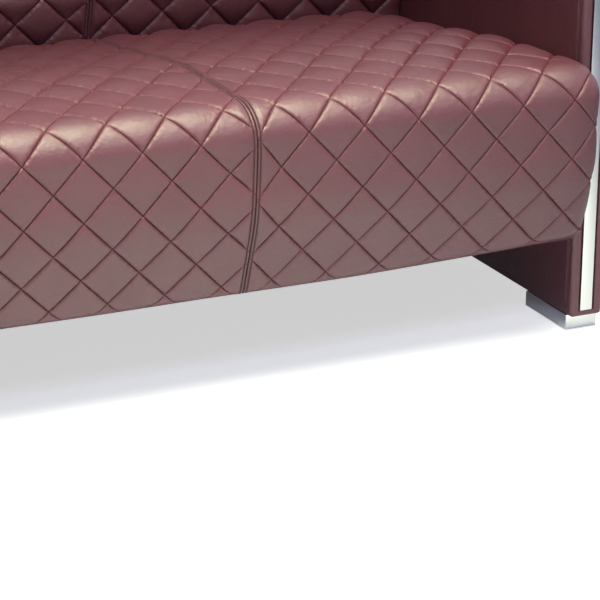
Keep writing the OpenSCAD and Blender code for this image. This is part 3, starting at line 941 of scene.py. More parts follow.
def sew(name, lines, thread="thread"):
    """Stitches of thread along the lines."""
    stitch = settings().stitch
    piece = lay_along(name, lines, stitch_shape, stitch.pitch, stitch.length, stitch.width,
                      MATERIALS[thread])
    return finish_piece(piece)


# Materials


def new_material(name, kind="ShaderNodeBsdfPrincipled"):
    """A material with one shader, and its node tree and that shader."""
    material = bpy.data.materials.new(name)
    material.use_nodes = True
    tree = material.node_tree
    tree.nodes.clear()
    shader = tree.nodes.new(kind)
    new_node(tree, "ShaderNodeOutputMaterial", {"Surface": shader.outputs[0]})
    return material, tree, shader


def piece_place(tree):
    """Places on the piece, in metres."""
    return new_node(tree, "ShaderNodeTexCoord").outputs["Object"]


def attribute(tree, name):
    return new_node(tree, "ShaderNodeAttribute", attribute_name=name).outputs["Fac"]


def scaled_noise(tree, vector, scale, detail=2.0, roughness=0.5):
    noise = new_node(tree, "ShaderNodeTexNoise", {
        "Vector": vector, "Scale": scale, "Detail": detail, "Roughness": roughness})
    return noise.outputs["Fac"]


def ranged(tree, value, low, high, to_low, to_high):
    node = new_node(tree, "ShaderNodeMapRange", {
        "Value": value, "From Min": low, "From Max": high, "To Min": to_low, "To Max": to_high})
    return node.outputs["Result"]


def bump(tree, height, distance, strength, before=None):
    """Relief of that height, on top of the relief before it."""
    node = new_node(tree, "ShaderNodeBump", {
        "Height": height, "Distance": distance, "Strength": strength})
    if before is not None:
        tree.links.new(before, node.inputs["Normal"])
    return node.outputs["Normal"]


def maths(tree, operation, *values):
    node = new_node(tree, "ShaderNodeMath", operation=operation)
    feed(tree, node, dict(enumerate(values)))
    return node.outputs["Value"]


def tint(colour, *shares):
    """The colour, its channels multiplied by their shares or all by one, for a colour socket."""
    return (*[min(1, c * share) for c, share in zip(colour, shares * 3)], 1)


def mix_colours(tree, share, first, second):
    mix = new_node(tree, "ShaderNodeMix", {"Factor": share, "A": first, "B": second}, data_type="RGBA")
    return mix.outputs["Result"]


def line_distance(tree, number, spacing):
    """Distance in metres from the nearest whole number's line."""
    off = maths(tree, "SUBTRACT", number, maths(tree, "ROUND", number))
    return maths(tree, "MULTIPLY", maths(tree, "ABSOLUTE", off), spacing)


# Distances from a stitched line over which the painted shade of its fold and its puckers fade, and about
# how many puckers a diamond has across the line and along it
PAINTED_FOLD_FADE = (0.0003, 0.0010)
PUCKER_FADE = (0.0008, 0.0150)
PUCKERS_ACROSS, PUCKERS_ALONG = 1.3, 7.5


def quilting_marks(tree, spacing):
    """How strong the painted shade in the folds along the stitches is, and the height of the puckers beside
    them.
    """
    uv = new_node(tree, "ShaderNodeUVMap", uv_map="quilting").outputs["UV"]
    split = new_node(tree, "ShaderNodeSeparateXYZ", {"Vector": uv}).outputs
    folds, puckers = [], []
    for across, along in ((split["X"], split["Y"]), (split["Y"], split["X"])):
        distance = line_distance(tree, across, spacing)
        folds.append(ranged(tree, distance, *PAINTED_FOLD_FADE, 1.0, 0.0))
        near = maths(tree, "POWER", ranged(tree, distance, *PUCKER_FADE, 1.0, 0.0), 2.0)
        stretch = new_node(tree, "ShaderNodeCombineXYZ", {
            "X": maths(tree, "MULTIPLY", across, PUCKERS_ACROSS),
            "Y": maths(tree, "MULTIPLY", along, PUCKERS_ALONG)})
        wrinkles = scaled_noise(tree, stretch.outputs["Vector"], scale=1.0)
        puckers.append(maths(tree, "MULTIPLY", wrinkles, near))
    sewn = attribute(tree, "sewn")
    return (maths(tree, "MULTIPLY", maths(tree, "MAXIMUM", *folds), sewn),
            maths(tree, "MULTIPLY", maths(tree, "ADD", *puckers), sewn))


# Shares of the leather's colour at its darkest and lightest (its own mottle), on its puckers (painted light,
# redder where the grey sheen is weaker beside a fold) and in its folds (painted shade), and how nearly the
# folds take theirs
MOTTLE = (0.92, 1.08)
PUCKER_PAINTED_SHEEN_TINT = (1.25, 0.8, 0.9)
PAINTED_FOLD_SHADE_TINT = (0.28, 0.1, 0.14)
PAINTED_FOLD_SHADE_STRENGTH = 0.95

# How far the leather's roughness falls and rises over it, and how much rougher its folds are
SHINE_FALL, SHINE_RISE = 0.05, 0.07
FOLD_ROUGH = 0.45


def leather_tone(tree, place, colour, painted_dark, pucker):
    """Mottled leather, with painted light making its puckers redder where the sheen is weaker, and painted
    shade nearly black in its folds.
    """
    mottle = ranged(tree, scaled_noise(tree, place, scale=9.0, detail=3.0), 0.3, 0.7, 0, 1)
    tone = mix_colours(tree, mottle, *[tint(colour, share) for share in MOTTLE])
    if pucker is not None:
        # Painted light: beside the folds the colour turns redder, standing in for the weaker grey sheen there
        tone = mix_colours(tree, pucker, tone, tint(colour, *PUCKER_PAINTED_SHEEN_TINT))
    # Painted shade: folds and seams are mixed towards nearly black
    return mix_colours(tree, maths(tree, "MULTIPLY", painted_dark, PAINTED_FOLD_SHADE_STRENGTH), tone, tint(colour, *PAINTED_FOLD_SHADE_TINT))


def leather_relief(tree, place, pucker):
    """Pores, fine creases, and puckers where the leather is quilted."""
    grain = new_node(tree, "ShaderNodeTexVoronoi", {"Vector": place, "Scale": 520.0},
                     feature="DISTANCE_TO_EDGE")
    pores = ranged(tree, grain.outputs["Distance"], 0.0, 0.22, 0, 1)
    creases = scaled_noise(tree, place, scale=110.0, detail=6.0, roughness=0.65)
    normal = bump(tree, pores, distance=0.0004, strength=0.35)
    normal = bump(tree, creases, distance=0.0017, strength=0.6, before=normal)
    if pucker is not None:
        normal = bump(tree, pucker, distance=0.0028, strength=1.0, before=normal)
    return normal


def leather_material(name, colour, roughness, spacing=None):
    """Semi-gloss grained leather with painted shade along its seams; with a spacing, its folds, their painted
    shade and its puckers follow the quilting.
    """
    material, tree, shader = new_material(name)
    place = piece_place(tree)
    # Painted shade: the seam layer and, with a spacing, the folds along the stitches turn the colour nearly
    # black
    painted_dark, pucker = attribute(tree, "seam"), None
    if spacing:
        fold, pucker = quilting_marks(tree, spacing)
        painted_dark = maths(tree, "MAXIMUM", painted_dark, fold)
    shine = scaled_noise(tree, place, scale=28.0, detail=3.0)
    gloss = ranged(tree, shine, 0.25, 0.75, roughness - SHINE_FALL, roughness + SHINE_RISE)
    feed(tree, shader, {
        "Base Color": leather_tone(tree, place, colour, painted_dark, pucker),
        "Roughness": maths(tree, "ADD", gloss, maths(tree, "MULTIPLY", painted_dark, FOLD_ROUGH)),
        "Normal": leather_relief(tree, place, pucker),
        "Specular IOR Level": 0.75,
        "Coat Weight": 0.12,
        "Coat Roughness": 0.42})
    return material


def steel_material(name):
    """Polished steel with the faint lines of its brush and a few smudges."""
    material, tree, shader = new_material(name)
    place = piece_place(tree)
    brush = new_node(tree, "ShaderNodeMapping", {"Vector": place, "Scale": (900, 900, 8)})
    lines = scaled_noise(tree, brush.outputs["Vector"], scale=1.0, detail=3.0)
    smudge = scaled_noise(tree, place, scale=14.0, detail=3.0)
    feed(tree, shader, {
        "Base Color": (0.86, 0.86, 0.87, 1),
        "Metallic": 1.0,
        "Roughness": ranged(tree, smudge, 0.3, 0.7, 0.08, 0.16),
        "Normal": bump(tree, lines, distance=0.0001, strength=0.06)})
    return material


def plain_material(name, colour, roughness, scale, spread, metallic=0.0, gloss=0.5):
    """A finish of one colour, which a noise of that scale makes lighter and darker by the spread."""
    material, tree, shader = new_material(name)
    noise = scaled_noise(tree, piece_place(tree), scale, detail=4.0)
    feed(tree, shader, {
        "Base Color": mix_colours(tree, noise, tint(colour, 1 - spread), tint(colour, 1 + spread)),
        "Normal": bump(tree, noise, distance=0.0005, strength=0.5),
        "Roughness": roughness,
        "Metallic": metallic,
        "Specular IOR Level": gloss})
    return material


MATERIALS = {}


def make_materials():
    s = settings().leather
    q = settings().quilt
    MATERIALS["seat"] = leather_material("seat_leather", s.colour, s.roughness, line_spacing(q.top_step))
    MATERIALS["back"] = leather_material("back_leather", s.colour, s.roughness, line_spacing(q.back_step))
    MATERIALS["arm"] = leather_material("arm_leather", s.colour, s.roughness)
    MATERIALS["steel"] = steel_material("polished_steel")
    MATERIALS["chrome"] = steel_material("chromed_foot")
    MATERIALS["thread"] = plain_material(
        "sewing_thread", s.thread, roughness=0.7, scale=900.0, spread=0.2, gloss=0.2)
    MATERIALS["topstitch"] = plain_material(
        "topstitching_thread", s.topstitch, roughness=0.6, scale=900.0, spread=0.2)
    MATERIALS["timber"] = plain_material(
        "planed_timber", (0.55, 0.38, 0.2), roughness=0.65, scale=30.0, spread=0.25)
    MATERIALS["zinc"] = plain_material(
        "zinc_plate", (0.55, 0.56, 0.58), roughness=0.35, scale=90.0, spread=0.1, metallic=1.0)
    MATERIALS["felt"] = plain_material(
        "grey_felt", (0.1, 0.1, 0.1), roughness=0.95, scale=400.0, spread=0.4)
    MATERIALS["foam"] = plain_material(
        "foam", (0.75, 0.66, 0.42), roughness=0.9, scale=500.0, spread=0.15)
    # Black cloth for the dust cloths and the webbing, also used as painted shade deep in the arms' strip
    # grooves
    MATERIALS["cloth"] = plain_material(
        "black_cloth", (0.012, 0.012, 0.013), roughness=0.9, scale=700.0, spread=0.4)
    MATERIALS["plastic"] = plain_material(
        "glide_plastic", (0.02, 0.02, 0.02), roughness=0.5, scale=200.0, spread=0.2)


# Finishes of the pieces that keep the frame's own shape
FRAME_FINISHES = {
    "timber": ("seat_front_rail", "seat_rear_rail", "seat_side_rails", "seat_cross_rails",
               "seat_corner_blocks", "back_posts", "back_top_rail", "back_bottom_rail",
               "left_arm_frame", "right_arm_frame"),
    "zinc": ("seat_springs", "spring_clips", "foot_screws", "arm_bolts", "tee_nuts"),
    "felt": ("spring_pad",),
    "foam": ("back_foam",),
    "cloth": ("back_webbing",),
}


# Seat and back


# Each panel's sides that end at an arm
PANEL_ENDS = ((-1,), (), (1,))

# The first row of the seat's quilting and the number of rows, and the height of row 0 on its nose
SEAT_FIRST_ROW = -5.6
SEAT_ROWS = 20
SEAT_ANCHOR_Z = 0.392

# The same for the back, whose rows go up to the rear panel, and how it falls away at its ends
BACK_FIRST_ROW = -4.6
BACK_ANCHOR_Z = 0.416
BACK_END_FALL, BACK_END_REACH = 0.010, 0.030


def make_panels(cover, quilt, origins, drop, reach):
    """The three panels of the seat or the back, between the edges that the frame gives."""
    panels = []
    for seat, origin, ends in zip(SEATS, origins, PANEL_ENDS):
        low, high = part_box(f"{cover}_{seat}")
        panels.append(Panel(quilt, (low[0], high[0]), origin, ends, drop, reach))
    return panels


def seat_panels():
    q = settings().quilt
    outline = seat_outline()
    anchor = outline.length_at((SEAT_LO.y, SEAT_ANCHOR_Z))
    quilt = Quilt(outline, anchor, q.front_step, q.top_step, SEAT_FIRST_ROW, SEAT_FIRST_ROW + SEAT_ROWS,
                  q.front_flat, foot=SEAT_LO.z)
    half = q.diamond / 2
    return make_panels("seat_cover", quilt, (half, half + q.slip, half), q.end_fall, q.end_reach)


def back_panels():
    q = settings().quilt
    outline = back_outline()
    anchor = outline.length_at((BACK_LO.y, BACK_ANCHOR_Z))
    span = (outline.length_at((BACK_HI.y, PANEL_HI.z)) - anchor) / q.back_step - BACK_FIRST_ROW
    last = BACK_FIRST_ROW + 2 * math.floor(span / 2)
    quilt = Quilt(outline, anchor, q.back_step, q.back_step, BACK_FIRST_ROW, last, 1.0, q.back_plump)
    return make_panels("back_cover", quilt, (0, q.slip, 0), BACK_END_FALL, BACK_END_REACH)


def upholster(part, panels, material):
    """The quilted cases of the seat or the back, with their stitches."""
    for seat, panel in zip(SEATS, panels):
        name = f"{part}_{seat}_quilting"
        piece = add_object(name, panel_mesh(name, panel), material)
        finish_piece(piece, [f"{part}_cover_{seat}"])
        sew(f"{part}_{seat}_stitches", quilting_lines(panel) + seam_lines(panel))


# The foam's top corners lie above the first of these heights and its foot below the second
FOAM_UPPER = 0.3
FOAM_LOWER = 0.2


def seat_foam_mesh(name):
    """The seat's foam, pressed down and raised under the leather by as much as the leather moves at most."""
    q = settings().quilt
    bm = bmesh.new()
    bm.from_mesh(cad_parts["seat_foam"].data)
    bmesh.ops.remove_doubles(bm, verts=bm.verts, dist=TOUCH)
    for vert in bm.verts:
        if vert.co.z > FOAM_UPPER:
            vert.co.z -= q.rear_fall + q.rear_end_fall
        elif vert.co.z < FOAM_LOWER:
            vert.co.z += q.foot_lift
    return smooth_mesh(name, bm, sharp=30)


class SOFA_OT_seat(bpy.types.Operator):
    """Quilted leather cases of the seat"""

    bl_idname = "sofa.seat"
    bl_label = "Seat"

    def execute(self, context):
        upholster("seat", seat_panels(), MATERIALS["seat"])
        foam = add_object("seat_foam_pad", seat_foam_mesh("seat_foam_pad"), MATERIALS["foam"])
        finish_piece(foam, ["seat_foam"])
        return {"FINISHED"}


class SOFA_OT_back(bpy.types.Operator):
    """Quilted leather cases of the back"""

    bl_idname = "sofa.back"
    bl_label = "Back"

    def execute(self, context):
        upholster("back", back_panels(), MATERIALS["back"])
        return {"FINISHED"}


# Arms


ARM_MID = (ARM_LO.x + ARM_HI.x) / 2
ARM_HALF = (ARM_HI.x - ARM_LO.x) / 2
TRIM_HALF = (TRIM_HI.x - TRIM_LO.x) / 2
TRIM_SINK = TRIM_LO.y - ARM_LO.y
TRIM_LIFT = TRIM_LO.z - ARM_LO.z
TRIM_T = 0.003

# An arm's outline: the rounding at its foot and the least at its top, the points in each, the
# ledge below the strip's foot, and where the points up the front start and how they are spread
ARM_BOTTOM_R = 0.003
ARM_LEAST_R = 0.002
FOOT_STEPS = 4
FOOT_POINTS = FOOT_STEPS + 1
CORNER_STEPS = 12
LEDGE_LEAST = 0.008
LEDGE_EDGE = 0.0003
LEDGE_TOP = 0.03
RISE_START = 0.05
SPREAD_SHARES = (0.1, 0.3, 0.5, 0.7, 0.9)


def arm_ring(inset, bottom_inset, step_inset=0.0, step_z=0.0):
    """Side outline of an arm, as (y, z) points from the bottom front round over the top to the bottom rear.

    Below step_z above the arm's foot the front and rear stand out by step_inset again."""
    y0, y1 = ARM_LO.y + inset, ARM_HI.y - inset
    z0, z1 = ARM_LO.z + bottom_inset, ARM_HI.z - inset
    round_r = max(settings().arm.corner - inset, ARM_LEAST_R)
    straight = z1 - round_r
    points = []

    def arc(cy, cz, radius, start, steps):
        for angle in evenly(math.radians(start), math.radians(start - 90), steps):
            points.append((cy + radius * math.cos(angle), cz + radius * math.sin(angle)))

    arc(y0 + ARM_BOTTOM_R - step_inset, z0 + ARM_BOTTOM_R, ARM_BOTTOM_R, 270, FOOT_STEPS)
    ledge = z0 + max(step_z, LEDGE_LEAST)
    points += [(y0 - step_inset, ledge), (y0, ledge + LEDGE_EDGE), (y0, ledge + LEDGE_TOP)]
    low = z0 + RISE_START
    points += [(y0, low + (straight - low) * share) for share in SPREAD_SHARES]
    front = list(points)
    arc(y0 + round_r, straight, round_r, 180, CORNER_STEPS)
    points += [(y0 + round_r + (y1 - y0 - 2 * round_r) * share, z1) for share in SPREAD_SHARES]
    arc(y1 - round_r, straight, round_r, 90, CORNER_STEPS)
    return points + [(y0 + y1 - y, z) for y, z in reversed(front)]


# Rings of an arm: the lip of the strip's groove as (distance beyond it, inset), the swell of the
# band beside it, the steps of the long edge, and the distances inside the band's seam on the side
GROOVE_LIP = ((0.0001, 0.0014), (0.0005, 0.0005), (0.0014, 0.0))
BAND_SWELL = 0.0002
EDGE_STEPS = 6
OUTER_LINE = -0.0095
NEAR_LINES = (0.0005, 0.0012, 0.0024, 0.0030, 0.0038, 0.0046, 0.0052, 0.0070)
FAR_LINES = (0.0100, 0.0150, 0.0220, 0.0320, 0.0460, 0.0650, 0.0900, 0.1200, 0.1600, 0.2050)
EDGE_CLEAR = 0.0002
FOOT_SHARE = 0.03


def arm_stations():
    """Rings of half an arm from its middle outwards.

    Each is (distance from the middle, inset, inset at the foot, step at the strip's foot, distance
    inside the band's seam, or None where the seam has no part in it)."""
    arm = settings().arm
    groove = TRIM_HALF + arm.gap
    shoulder = ARM_HALF - arm.edge
    stations = [(u, arm.groove, 0.0, arm.groove, None) for u in (0.0, groove)]
    stations += [(groove + u, inset, 0.0, inset, None) for u, inset in GROOVE_LIP]
    stations.append(((groove + shoulder) / 2, -BAND_SWELL, 0.0, 0.0, None))
    for angle in evenly(0, math.pi / 2, EDGE_STEPS):
        inset = arm.edge * (1 - math.cos(angle))
        stations.append((shoulder + arm.edge * math.sin(angle), inset, inset, 0.0, None))
    for d in (OUTER_LINE, *[-d for d in reversed(NEAR_LINES)], 0.0, *NEAR_LINES, *FAR_LINES):
        inset = arm.seam + d
        if inset > arm.edge + EDGE_CLEAR:
            foot = arm.edge + FOOT_SHARE * (inset - arm.edge)
            stations.append((ARM_HALF, inset, foot, 0.0, d))
    return stations


# Width and darkness of the painted shade along the band's seam and its rows of stitches, width and depth
# of the dips there and of the hollow around the seam, and the swell of the side beyond it
ARM_PAINTED_SEAM_SHADE = (0.0011, 1.0)
ARM_PAINTED_ROW_SHADE = (0.0009, 0.7)
ARM_SEAM_DIP = (0.0009, 0.0016)
ARM_HOLLOW = (0.0045, 0.0007)
ARM_ROW_DIP = (0.0008, 0.0006)
SIDE_SWELL, SIDE_SWELL_REACH = 0.0012, 0.04


def arm_painted_seam_shade(d):
    """How strong the painted shade on the side of an arm is at a distance d inside the band's seam, from 0 to
    1.
    """
    return max(bell(d, *ARM_PAINTED_SEAM_SHADE), bell(abs(d) - settings().arm.rows, *ARM_PAINTED_ROW_SHADE))


def arm_face_dip(d):
    """How far the side of an arm lies below its highest point, at a distance d inside the band's seam."""
    swell = SIDE_SWELL * math.exp(-max(d, 0) / SIDE_SWELL_REACH)
    row = bell(abs(d) - settings().arm.rows, *ARM_ROW_DIP)
    return float(swell + bell(d, *ARM_SEAM_DIP) + bell(d, *ARM_HOLLOW) + row)


# Faces of the strip's groove deeper than this take the black cloth, painted shade for the gap beside the
# strip
GROOVE_SHADE_DEPTH = 0.002


def arm_mesh(name, side):
    """The leather of one arm as one closed skin of rings from its inner face to its outer one."""
    gap = settings().arm.gap
    half = arm_stations()
    stations = [(-u, *rest) for u, *rest in reversed(half[1:])] + half
    bm = bmesh.new()
    # Painted shade along the band's seam and its rows of stitches, read by the leather's material
    shade = bm.verts.layers.float.new("seam")
    rings = []
    for u, inset, foot, step, d in stations:
        dip, painted_dark = (0.0, 0.0) if d is None else (arm_face_dip(d), arm_painted_seam_shade(d))
        ring = arm_ring(inset, foot, step, TRIM_LIFT - gap if step else 0.0)
        verts = []
        for i, (y, z) in enumerate(ring):
            share = 1.0 if FOOT_POINTS <= i < len(ring) - FOOT_POINTS else 0.0
            vert = bm.verts.new((side * (ARM_MID + u - math.copysign(dip, u) * share), y, z))
            vert[shade] = share * painted_dark
            verts.append(vert)
        rings.append(verts)
    for k, (near, far) in enumerate(zip(rings, rings[1:])):
        steps = (stations[k][3], stations[k + 1][3])
        # Painted shade: the deep faces of the strip's groove take the black cloth
        groove_shaded = min(steps) > 0 and max(steps) > GROOVE_SHADE_DEPTH
        for i in range(len(near)):
            j = (i + 1) % len(near)
            face = bm.faces.new((near[i], near[j], far[j], far[i]))
            face.material_index = int(groove_shaded and FOOT_POINTS <= i < len(near) - FOOT_POINTS - 1)
    bm.faces.new(rings[0])
    bm.faces.new(reversed(rings[-1]))
    bmesh.ops.remove_doubles(bm, verts=bm.verts[:], dist=TOUCH)
    bmesh.ops.recalc_face_normals(bm, faces=bm.faces)
    return smooth_mesh(name, bm, sharp=32)


# How proud of an arm's side its stitches lie
ARM_PROUD = 0.0001


def arm_seam_lines(side):
    """Two rows of topstitching on each face of an arm, beside the band's seam."""
    arm = settings().arm
    lines = []
    for face in (-1, 1):
        for d in (-arm.rows, arm.rows):
            ring = arm_ring(arm.seam + d, arm.seam + d)[FOOT_STEPS:-FOOT_POINTS]
            x = ARM_MID + face * (ARM_HALF - arm_face_dip(d) + ARM_PROUD)
            lines.append([(side * x, y, z) for y, z in ring])
    return lines


# Where the middle point of the strip's bevel lies, as a share of it from either face
BEVEL_MIDDLE_SHARE = 0.3


def strip_mesh(name, side):
    """The steel strip that runs up the front of an arm, over it and down its rear."""
    bevel = settings().arm.strip_bevel
    middle = bevel * BEVEL_MIDDLE_SHARE
    half = TRIM_HALF - settings().arm.strip_ease
    outer, inner = TRIM_SINK, TRIM_SINK + TRIM_T
    section = [(-half, inner), (-half, outer + bevel), (-half + middle, outer + middle),
               (-half + bevel, outer)]
    section += [(-u, t) for u, t in reversed(section)]
    foot = ARM_LO.z + TRIM_LIFT
    bm = bmesh.new()
    columns = []
    for u, inset in section:
        ring = arm_ring(inset, TRIM_LIFT)[FOOT_STEPS:-FOOT_POINTS]
        ring[0] = (ring[0][0], foot)
        ring[-1] = (ring[-1][0], foot)
        columns.append([bm.verts.new((side * (ARM_MID + u), y, z)) for y, z in ring])
    span_columns(bm, columns + columns[:1])
    bm.faces.new([column[0] for column in columns])
    bm.faces.new([column[-1] for column in reversed(columns)])
    bmesh.ops.recalc_face_normals(bm, faces=bm.faces)
    return smooth_mesh(name, bm, sharp=28)


class SOFA_OT_arms(bpy.types.Operator):
    """Leather of the arms with its topstitching, and the steel strips"""

    bl_idname = "sofa.arms"
    bl_label = "Arms"

    def execute(self, context):
        for word, side in (("left", -1), ("right", 1)):
            name = f"{word}_arm_leather"
            skin = add_object(name, arm_mesh(name, side), MATERIALS["arm"])
            # The second slot, the black cloth, is painted shade in the deep faces of the strip's groove
            skin.data.materials.append(MATERIALS["cloth"])
            finish_piece(skin, [f"{word}_arm_cover"])
            sew(f"{word}_arm_stitches", arm_seam_lines(side), "topstitch")
            name = f"{word}_arm_strip"
            strip = add_object(name, strip_mesh(name, side), MATERIALS["steel"])
            finish_piece(strip, [f"{word}_arm_trim"])
        return {"FINISHED"}


# Rear panel


# The rear panel's widest column and its rows, its slack and the dip along its hem as (width,
# depth), the painted shade along its seams and rows of stitches as (width, darkness), and the steps of
# the paths of its stitches
PANEL_CELL = 0.045
PANEL_ROWS = 12
PANEL_SLACK = 0.0005
HEM_DIP = (0.0012, 0.0009)
PANEL_PAINTED_SEAM_SHADE = (0.0011, 1.0)
PANEL_PAINTED_ROW_SHADE = (0.0010, 0.8)
SEAM_PATH_STEPS = 40
HEM_PATH_STEPS = 120


def edge_offsets(radius):
    """Distances from an edge at which its rounding is drawn."""
    return [radius * (1 - math.cos(angle)) for angle in evenly(0, math.pi / 2, EDGE_STEPS)]


def rear_panel_lines():
    """Places of the rear panel's columns and rows."""
    edge = settings().rear.edge
    half = [0.0, SEAM_X]
    half += [SEAM_X + side * d for side in (-1, 1) for d in SEAM_LINES]
    half += [PANEL_HI.x - d for d in edge_offsets(edge)]
    half.sort()
    xs = half[:1]
    for near, far in zip(half, half[1:]):
        xs += evenly(near, far, max(1, round((far - near) / PANEL_CELL)))[1:]
    offsets = edge_offsets(edge)[:-1]
    zs = [PANEL_LO.z + d for d in offsets] + evenly(PANEL_LO.z + edge, PANEL_HI.z - edge, PANEL_ROWS)
    zs += [PANEL_HI.z - d for d in reversed(offsets)]
    return [-x for x in reversed(xs[1:])] + xs, zs


def rear_panel_y(x, z):
    """The rear panel's outer face."""
    rear = settings().rear
    d = min(PANEL_HI.x - abs(x), z - PANEL_LO.z, PANEL_HI.z - z)
    fall = rear.edge - math.sqrt(max(0.0, rear.edge ** 2 - max(0.0, rear.edge - d) ** 2))
    slack = PANEL_SLACK * (1 + waver(x, z))
    dips = bell(d - rear.hem, *HEM_DIP) + seam_dip(abs(abs(x) - SEAM_X))
    return float(PANEL_HI.y - fall - slack - dips)


def rear_panel_mesh(name):
    """Three leather panels sewn edge to edge over the rear of the back."""
    rows = settings().quilt.seam_rows
    xs, zs = rear_panel_lines()
    bm = bmesh.new()
    # Painted shade along the seams and their rows of stitches
    shade = bm.verts.layers.float.new("seam")
    grid = []
    for x in xs:
        e = abs(abs(x) - SEAM_X)
        painted_dark = max(bell(e, *PANEL_PAINTED_SEAM_SHADE), bell(e - rows, *PANEL_PAINTED_ROW_SHADE))
        column = [bm.verts.new((x, rear_panel_y(x, z), z)) for z in zs]
        for vert in column:
            vert[shade] = painted_dark
        grid.append(column)
    span_columns(bm, grid)
    border = [column[0] for column in grid] + grid[-1][1:]
    border += [column[-1] for column in reversed(grid[:-1])] + list(reversed(grid[0][1:-1]))
    back = [bm.verts.new((v.co.x, PANEL_LO.y, v.co.z)) for v in border]
    span_columns(bm, [border + border[:1], back + back[:1]])
    bm.faces.new(back)
    bmesh.ops.recalc_face_normals(bm, faces=bm.faces)
    return smooth_mesh(name, bm, sharp=40)


def rear_panel_seams():
    """Rows of topstitching beside the rear panel's seams and along its hem."""
    rear = settings().rear
    rows = settings().quilt.seam_rows
    low, high = PANEL_LO.z + rear.hem, PANEL_HI.z - rear.hem
    ends = PANEL_HI.x - rear.hem
    paths = [[(x, z) for z in evenly(low, high, SEAM_PATH_STEPS)]
             for x in (-SEAM_X - rows, -SEAM_X + rows, SEAM_X - rows, SEAM_X + rows)]
    paths += [[(x, z) for x in evenly(-ends, ends, HEM_PATH_STEPS)] for z in (low, high)]
    return [[(x, rear_panel_y(x, z) + PROUD, z) for x, z in path] for path in paths]


class SOFA_OT_rear_panel(bpy.types.Operator):
    """Leather panel over the rear of the back"""

    bl_idname = "sofa.rear_panel"
    bl_label = "Rear panel"

    def execute(self, context):
        name = "rear_leather_panel"
        panel = add_object(name, rear_panel_mesh(name), MATERIALS["arm"])
        finish_piece(panel, ["back_rear_panel"])
        sew("rear_panel_stitches", rear_panel_seams(), "topstitch")
        return {"FINISHED"}


# Dust cloths


def dust_cloth_boxes():
    """Corners (low, high) of the cloths under the seat and under the back."""
    points = [v.co.copy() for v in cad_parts["dust_cover"].data.vertices]
    ys = sorted({round(p.y, 5) for p in points})
    boxes = []
    for low, high in ((ys[0], ys[1]), (ys[-2], ys[-1])):
        own = [p for p in points if low - 0.0001 <= p.y <= high + 0.0001]
        boxes.append((Vector([min(p[i] for p in own) for i in range(3)]),
                      Vector([max(p[i] for p in own) for i in range(3)])))
    return boxes


# A cloth's sag: the width from which it is full, and how it rounds off towards the short ends;
# its ripples between staples, by their distance from the edge and their width and height; the
# size of its faces, and the paths of its staples
FULL_SAG_WIDTH = 0.4
SAG_POWER = 0.6
RIPPLE_INSET = 0.03
RIPPLE = (0.02, 0.0009)
CLOTH_CELL = 0.011
LEAST_CELLS = 8
STAPLE_PATH_STEP = 0.02
STAPLE_SINK = 0.0003


def dust_cloth_z(low, high, x, y):
    """Height of a cloth that is stapled along its edges and sags between them."""
    dust = settings().dust
    u = (x - low.x) / (high.x - low.x)
    v = (y - low.y) / (high.y - low.y)
    droop = dust.sag * min(1.0, (high.y - low.y) / FULL_SAG_WIDTH)
    droop *= max(0.0, math.sin(math.pi * u)) ** SAG_POWER * math.sin(math.pi * v)
    ripple = 0.0
    for d, along in ((min(x - low.x, high.x - x), y), (min(y - low.y, high.y - y), x)):
        ripple += bell(d - RIPPLE_INSET, *RIPPLE) * math.sin(2 * math.pi * along / dust.staple_pitch)
    return float((low.z + high.z) / 2 - max(0.0, droop) + ripple)


def dust_cloth_mesh(name, low, high):
    """The sagging cloth that closes an opening."""
    columns, rows = (max(LEAST_CELLS, round((high[i] - low[i]) / CLOTH_CELL)) for i in (0, 1))
    ys = evenly(low.y, high.y, rows)
    bm = bmesh.new()
    span_columns(bm, [[bm.verts.new((x, y, dust_cloth_z(low, high, x, y))) for y in ys]
                      for x in evenly(low.x, high.x, columns)])
    return smooth_mesh(name, bm, sharp=60)


def staple_lines(low, high):
    """Where the staples run, round the edge of a cloth on its underside."""
    dust = settings().dust
    inset = dust.staple_inset
    x0, x1, y0, y1 = low.x + inset, high.x - inset, low.y + inset, high.y - inset
    corners = [(x0, y0), (x1, y0), (x1, y1), (x0, y1)]
    under = dust.thickness / 2 + STAPLE_SINK
    lines = []
    for (ax, ay), (bx, by) in zip(corners, corners[1:] + corners[:1]):
        count = max(4, round(math.hypot(bx - ax, by - ay) / STAPLE_PATH_STEP))
        places = zip(evenly(ax, bx, count), evenly(ay, by, count))
        lines.append([(x, y, dust_cloth_z(low, high, x, y) - under) for x, y in places])
    return lines


class SOFA_OT_dust_cloths(bpy.types.Operator):
    """Black cloths stapled under the seat and the back"""

    bl_idname = "sofa.dust_cloths"
    bl_label = "Dust cloths"

    def execute(self, context):
        dust = settings().dust
        lines = []
        for part, (low, high) in zip(("seat", "back"), dust_cloth_boxes()):
            name = f"{part}_dust_cloth"
            cloth = add_object(name, dust_cloth_mesh(name, low, high), MATERIALS["cloth"])
            body = cloth.modifiers.new("cloth thickness", "SOLIDIFY")
            body.thickness = dust.thickness
            body.offset = 0.0
            finish_piece(cloth, ["dust_cover"])
            lines += staple_lines(low, high)
        staples = lay_along("dust_cloth_staples", lines, staple_shape, dust.staple_pitch, dust.staple_length,
                            dust.staple_wire, MATERIALS["zinc"])
        finish_piece(staples)
        return {"FINISHED"}


# Feet


# Width and steps of the eased edges
FOOT_BEVEL = (0.0008, 3)
GLIDE_BEVEL = (0.0007, 2)
FLAT_ANGLE = math.radians(1)
SHARP_ANGLE = math.radians(35)


